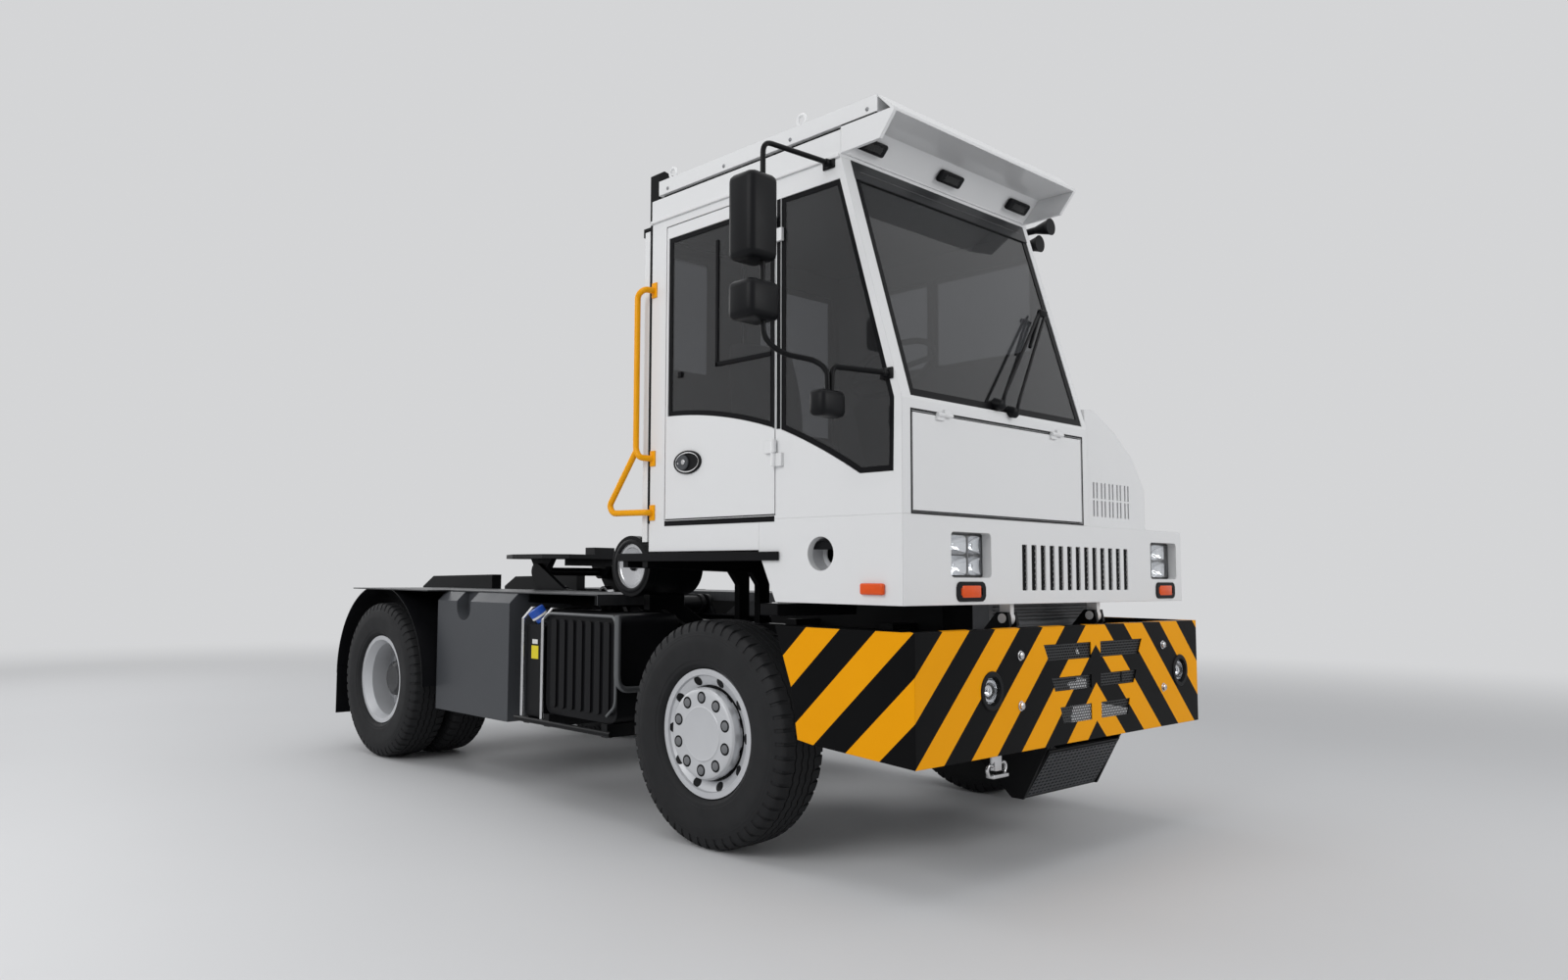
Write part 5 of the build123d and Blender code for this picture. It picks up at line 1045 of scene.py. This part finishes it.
# Handrail: a tube bent to stand off the cab's rear corner, and a loop below it
rail = bmesh.new()
add_tube(rail, ((-1237, 397, 2762), (-1300, 400, 2760), (-1300, 452, 2738), (-1300, 452, 1930),
                (-1300, 424, 1890), (-1237, 397, 1886)), 16, 18, 8)
add_tube(rail, ((-1300, 450, 1925), (-1300, 667, 1652), (-1298, 640, 1611), (-1270, 404, 1609),
                (-1237, 397, 1608)), 16, 18, 8)
for z in (2762, 1886, 1608):
    add_block(rail, (-CAB_HALF - 7, 371, z - 40), (-CAB_HALF + 1, 411, z + 40), 3)
rail_piece = shape("bent_handrail", rail, orange, "cab", 40)
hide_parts("handrail")

# Arm from the frame to the cab's side, over the front wheel
block_piece("cab_side_arm", (-1050, -312, 1102), (-470, -196, 1162), 6, black, "chassis")

# Mirrors: rounded housings that cover their arm, faces to the rear, and a small front mirror
heads, faces, arms = bmesh.new(), bmesh.new(), bmesh.new()
for z0, z1, inner in ((2582, 2946, -1596), (2334, 2498, -1580)):
    add_block(heads, (-1760, -846, z0), (inner, -694, z1), 32)
    add_block(faces, (-1726, -696, z0 + 34), (inner - 34, -693.6, z1 - 34), 0.5)
add_block(heads, (-1555, -1045, 1932), (-1408, -957, 2042), 26)
add_block(faces, (-1528, -959, 1960), (-1434, -956.6, 2014), 0.5)
add_tube(arms, ((-1237, -800, 3100), (-1262, -800, 3104), (-1650, -800, 3092), (-1652, -800, 2505),
                (-1645, -800, 2262), (-1600, -862, 2196), (-1506, -955, 2168), (-1482, -1000, 2128),
                (-1478, -1000, 2030)), 11.5, 16, 7)
add_tube(arms, ((-1237, -1110, 2128), (-1262, -1110, 2130), (-1440, -1004, 2144), (-1453, -1000, 2120),
                (-1455, -1000, 2030)), 11.5, 16, 7)
for y, z in ((-800, 3100), (-1110, 2128)):
    add_block(arms, (-CAB_HALF - 9, y - 34, z - 24), (-CAB_HALF + 1, y + 34, z + 24), 4)
    add_turned(arms, ((8, 21), (26, 19), (28, 15), (28, 0)), (-CAB_HALF, y, z), TO_RIGHT, 20)
heads_piece = shape("mirror_housings", heads, plastic, "cab", 40)
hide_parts("mirror_heads")
arms_piece = shape("mirror_tubes", arms, black, "cab", 40)
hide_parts("mirror_arms")
shape("mirror_faces", faces, chrome, "cab")

# Wiper: two arms that lean together to a clamp on the blade, over round pivots
wiper = bmesh.new()


def before_screen(x, z, lift):
    """A point in front of the windscreen, in the chassis frame."""
    return (x, CAB_FRONT + (z - SCREEN_BOTTOM) * SCREEN_LEAN - lift, z)


SCREEN_OUT = (0, -0.96, -0.28)
for base, knee, tip in (((-539, 2072), (-520, 2110), (34, 2600)), ((-440, 2046), (-420, 2085), (78, 2588))):
    add_turned(wiper, ((-6, 26), (22, 25), (40, 23), (47, 15), (48, 0)), before_screen(*base, 0),
               SCREEN_OUT, 24)
    add_tube(wiper, (before_screen(*base, 44), before_screen(*knee, 50), before_screen(*tip, 40)), 8, 10, 4)
along = (Vector(before_screen(70, 2624, 0)) - Vector(before_screen(-170, 2372, 0))).normalized()
add_slab(wiper, Vector(before_screen(-36, 2512, 27)), along, SCREEN_OUT, (330, 13, 18), 4)
add_slab(wiper, Vector(before_screen(58, 2604, 34)), TO_LEFT, SCREEN_OUT, (66, 34, 22), 6)
wiper_piece = shape("wiper_arms", wiper, plastic, "cab", 40)
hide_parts("wiper")

# Dished end of the reservoir: a bright shallow cone in a black ring, with a hub
dish, hub = bmesh.new(), bmesh.new()
DISH = (-1000, 860, 1340)
add_turned(dish, ((-4, 124), (-9, 121), (-9, 104), (-12, 100), (-22, 26)), DISH, TO_RIGHT, 72)
add_turned(hub, ((-4, 149), (1, 148), (4, 143), (4, 128), (1, 123), (-8, 122)), DISH, TO_RIGHT, 72)
add_turned(hub, ((-23, 27), (-12, 25), (-8, 20), (-8, 0)), DISH, TO_RIGHT, 24)
dish_metal = Look("dish_metal", (0.55, 0.555, 0.57), 0.24, metal=0.8)
dish_metal.drift(9, 0.06).gloss(14, 0.05).grain(60, 2, 0.05, 0.0004)
shape("reservoir_dish", dish, dish_metal, "chassis", 25)
shape("reservoir_hub", hub, plastic, "chassis", 40)

# Bent guard tube before the tank, and the bead round the ribbed tank's outer face
tube_grey = Look("tube_grey", (0.13, 0.135, 0.14), 0.34, metal=0.45)
tube_grey.drift(9, 0.08).gloss(14, 0.06).grain(160, 2, 0.05, 0.0004)
guards = bmesh.new()
add_tube(guards, ((-1209, 700, 1075), (-1209, 700, 684), (-960, 700, 680)), 18, 18, 8)
add_tube(guards, ((-1207, 1384, 1040), (-1207, 1340, 1068), (-1207, 740, 1068), (-1207, 716, 1030),
                  (-1207, 716, 600), (-1207, 790, 540)), 8, 12, 5)
shape("tank_guards", guards, tube_grey, "chassis", 40)

# Neck ring and knurl of the slim tank's cap
cap_axis = Vector((-0.5, 0.25, 0.83)).normalized()
cap_spot = Vector((-1148, 1490, 1018))
neck, knurl = bmesh.new(), bmesh.new()
add_turned(neck, ((30, 37), (30, 47.5), (37, 48.5), (43, 47.5), (43, 40)), cap_spot, cap_axis, 40)
first = cap_axis.orthogonal().normalized()
second = cap_axis.cross(first)
for c, s in around(26):
    away = first * c + second * s
    add_slab(knurl, cap_spot + away * 45 + cap_axis * 63, cap_axis, away, (36, 4.5, 4), 1)
shape("tank_neck", neck, label_white, "chassis", 40)
shape("tank_cap_knurl", knurl, blue, "chassis")

# Towing hook under the bumper
hook = bmesh.new()
add_block(hook, (-566, -1166, 448), (-516, -1136, 534), 4)
add_block(hook, (-590, -1172, 418), (-470, -1130, 436), 5)
add_tube(hook, ((-596, -1151, 430), (-612, -1151, 452), (-600, -1151, 478), (-568, -1151, 470)), 8, 12, 4)
add_tube(hook, ((-478, -1151, 436), (-462, -1151, 460), (-480, -1151, 486), (-514, -1151, 478)), 8, 12, 4)
shape("towing_hook", hook, steel, "chassis", 40)


# Seat: cushions with crowned faces and pulled-in seams
def cushion(name, low, high, lean, crown):
    """A cushion between two corners, leant back, its upper face crowned."""
    built = bmesh.new()
    start, end = place(*low), place(*high)
    middle, size = (start + end) / 2, end - start
    bmesh.ops.create_cube(built, size=1)
    bmesh.ops.subdivide_edges(built, edges=built.edges, cuts=7, use_grid_fill=True)
    for v in built.verts:
        a, b, c = (2 * q for q in v.co)
        pull = 1 - 0.08 * (a * a * c * c + b * b * c * c + a * a * b * b)
        swell = crown * (1 - a * a) * (1 - b * b) * (1 if c > 0.99 else 0)
        channel = 0.006 * math.exp(-((abs(a) - 0.52) / 0.06) ** 2) * (1 if c > 0.99 else 0)
        v.co = Vector((a * size.x / 2 * pull, b * size.y / 2 * pull, c * size.z / 2 * pull + swell - channel))
    leaning = Matrix.Translation(middle) @ Matrix.Rotation(lean, 4, "X")
    bmesh.ops.transform(built, matrix=leaning, verts=built.verts)
    made = piece(name, from_bmesh(name, built), fabric, "cab", 60)
    return made


base_cushion = cushion("seat_cushion", (-850, -235, 1800), (-350, 130, 1898), 0.03, 0.012)
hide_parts("seat")
cushion("seat_back", (-845, 150, 1900), (-355, 250, 2545), math.radians(-8), 0.0)
block_piece("seat_stand", (-760, -110, 1446), (-440, 230, 1792), 14, plastic, "cab", 35)

# Plain labels on the slim tank
block_piece("tank_label_white", (-1197.2, 1470, 886), (-1195.9, 1524, 912), 0, label_white, "chassis")
block_piece("tank_label_yellow", (-1197.2, 1462, 800), (-1195.9, 1532, 876), 0, label_yellow, "chassis")


# Floor, fading into the backdrop
def add_floor():
    radius, fade_start, fade_end = 40, 5.0, 16.0
    built = bmesh.new()
    bmesh.ops.create_circle(built, cap_ends=True, segments=96, radius=radius)
    mesh = from_bmesh("floor", built)
    floor = bpy.data.objects.new("floor", mesh)
    floor.location.z = -0.001
    scene.collection.objects.link(floor)
    look = Look("studio_floor", BACKDROP, 0.55, specular=0.25)
    look.drift(0.6, 0.02)
    tree = look.tree
    out = tree.nodes["Material Output"]
    glow = node(tree, "ShaderNodeEmission")
    glow.inputs["Color"].default_value = (*BACKDROP, 1)
    distance = node(tree, "ShaderNodeVectorMath", operation="LENGTH")
    link(tree, look.where.outputs["Object"], distance.inputs[0])
    ramp = node(tree, "ShaderNodeMapRange", interpolation_type="SMOOTHSTEP")
    ramp.inputs["From Min"].default_value = fade_start
    ramp.inputs["From Max"].default_value = fade_end
    link(tree, distance.outputs["Value"], ramp.inputs["Value"])
    path = node(tree, "ShaderNodeLightPath")
    seen = look.math("MAXIMUM", path.outputs["Is Camera Ray"], path.outputs["Is Transmission Ray"])
    fade = look.math("MULTIPLY", ramp.outputs[0], seen)
    mix = node(tree, "ShaderNodeMixShader")
    link(tree, fade, mix.inputs[0])
    link(tree, look.shader.outputs[0], mix.inputs[1])
    link(tree, glow.outputs[0], mix.inputs[2])
    link(tree, mix.outputs[0], out.inputs["Surface"])
    mesh.materials.append(look.material)


add_floor()
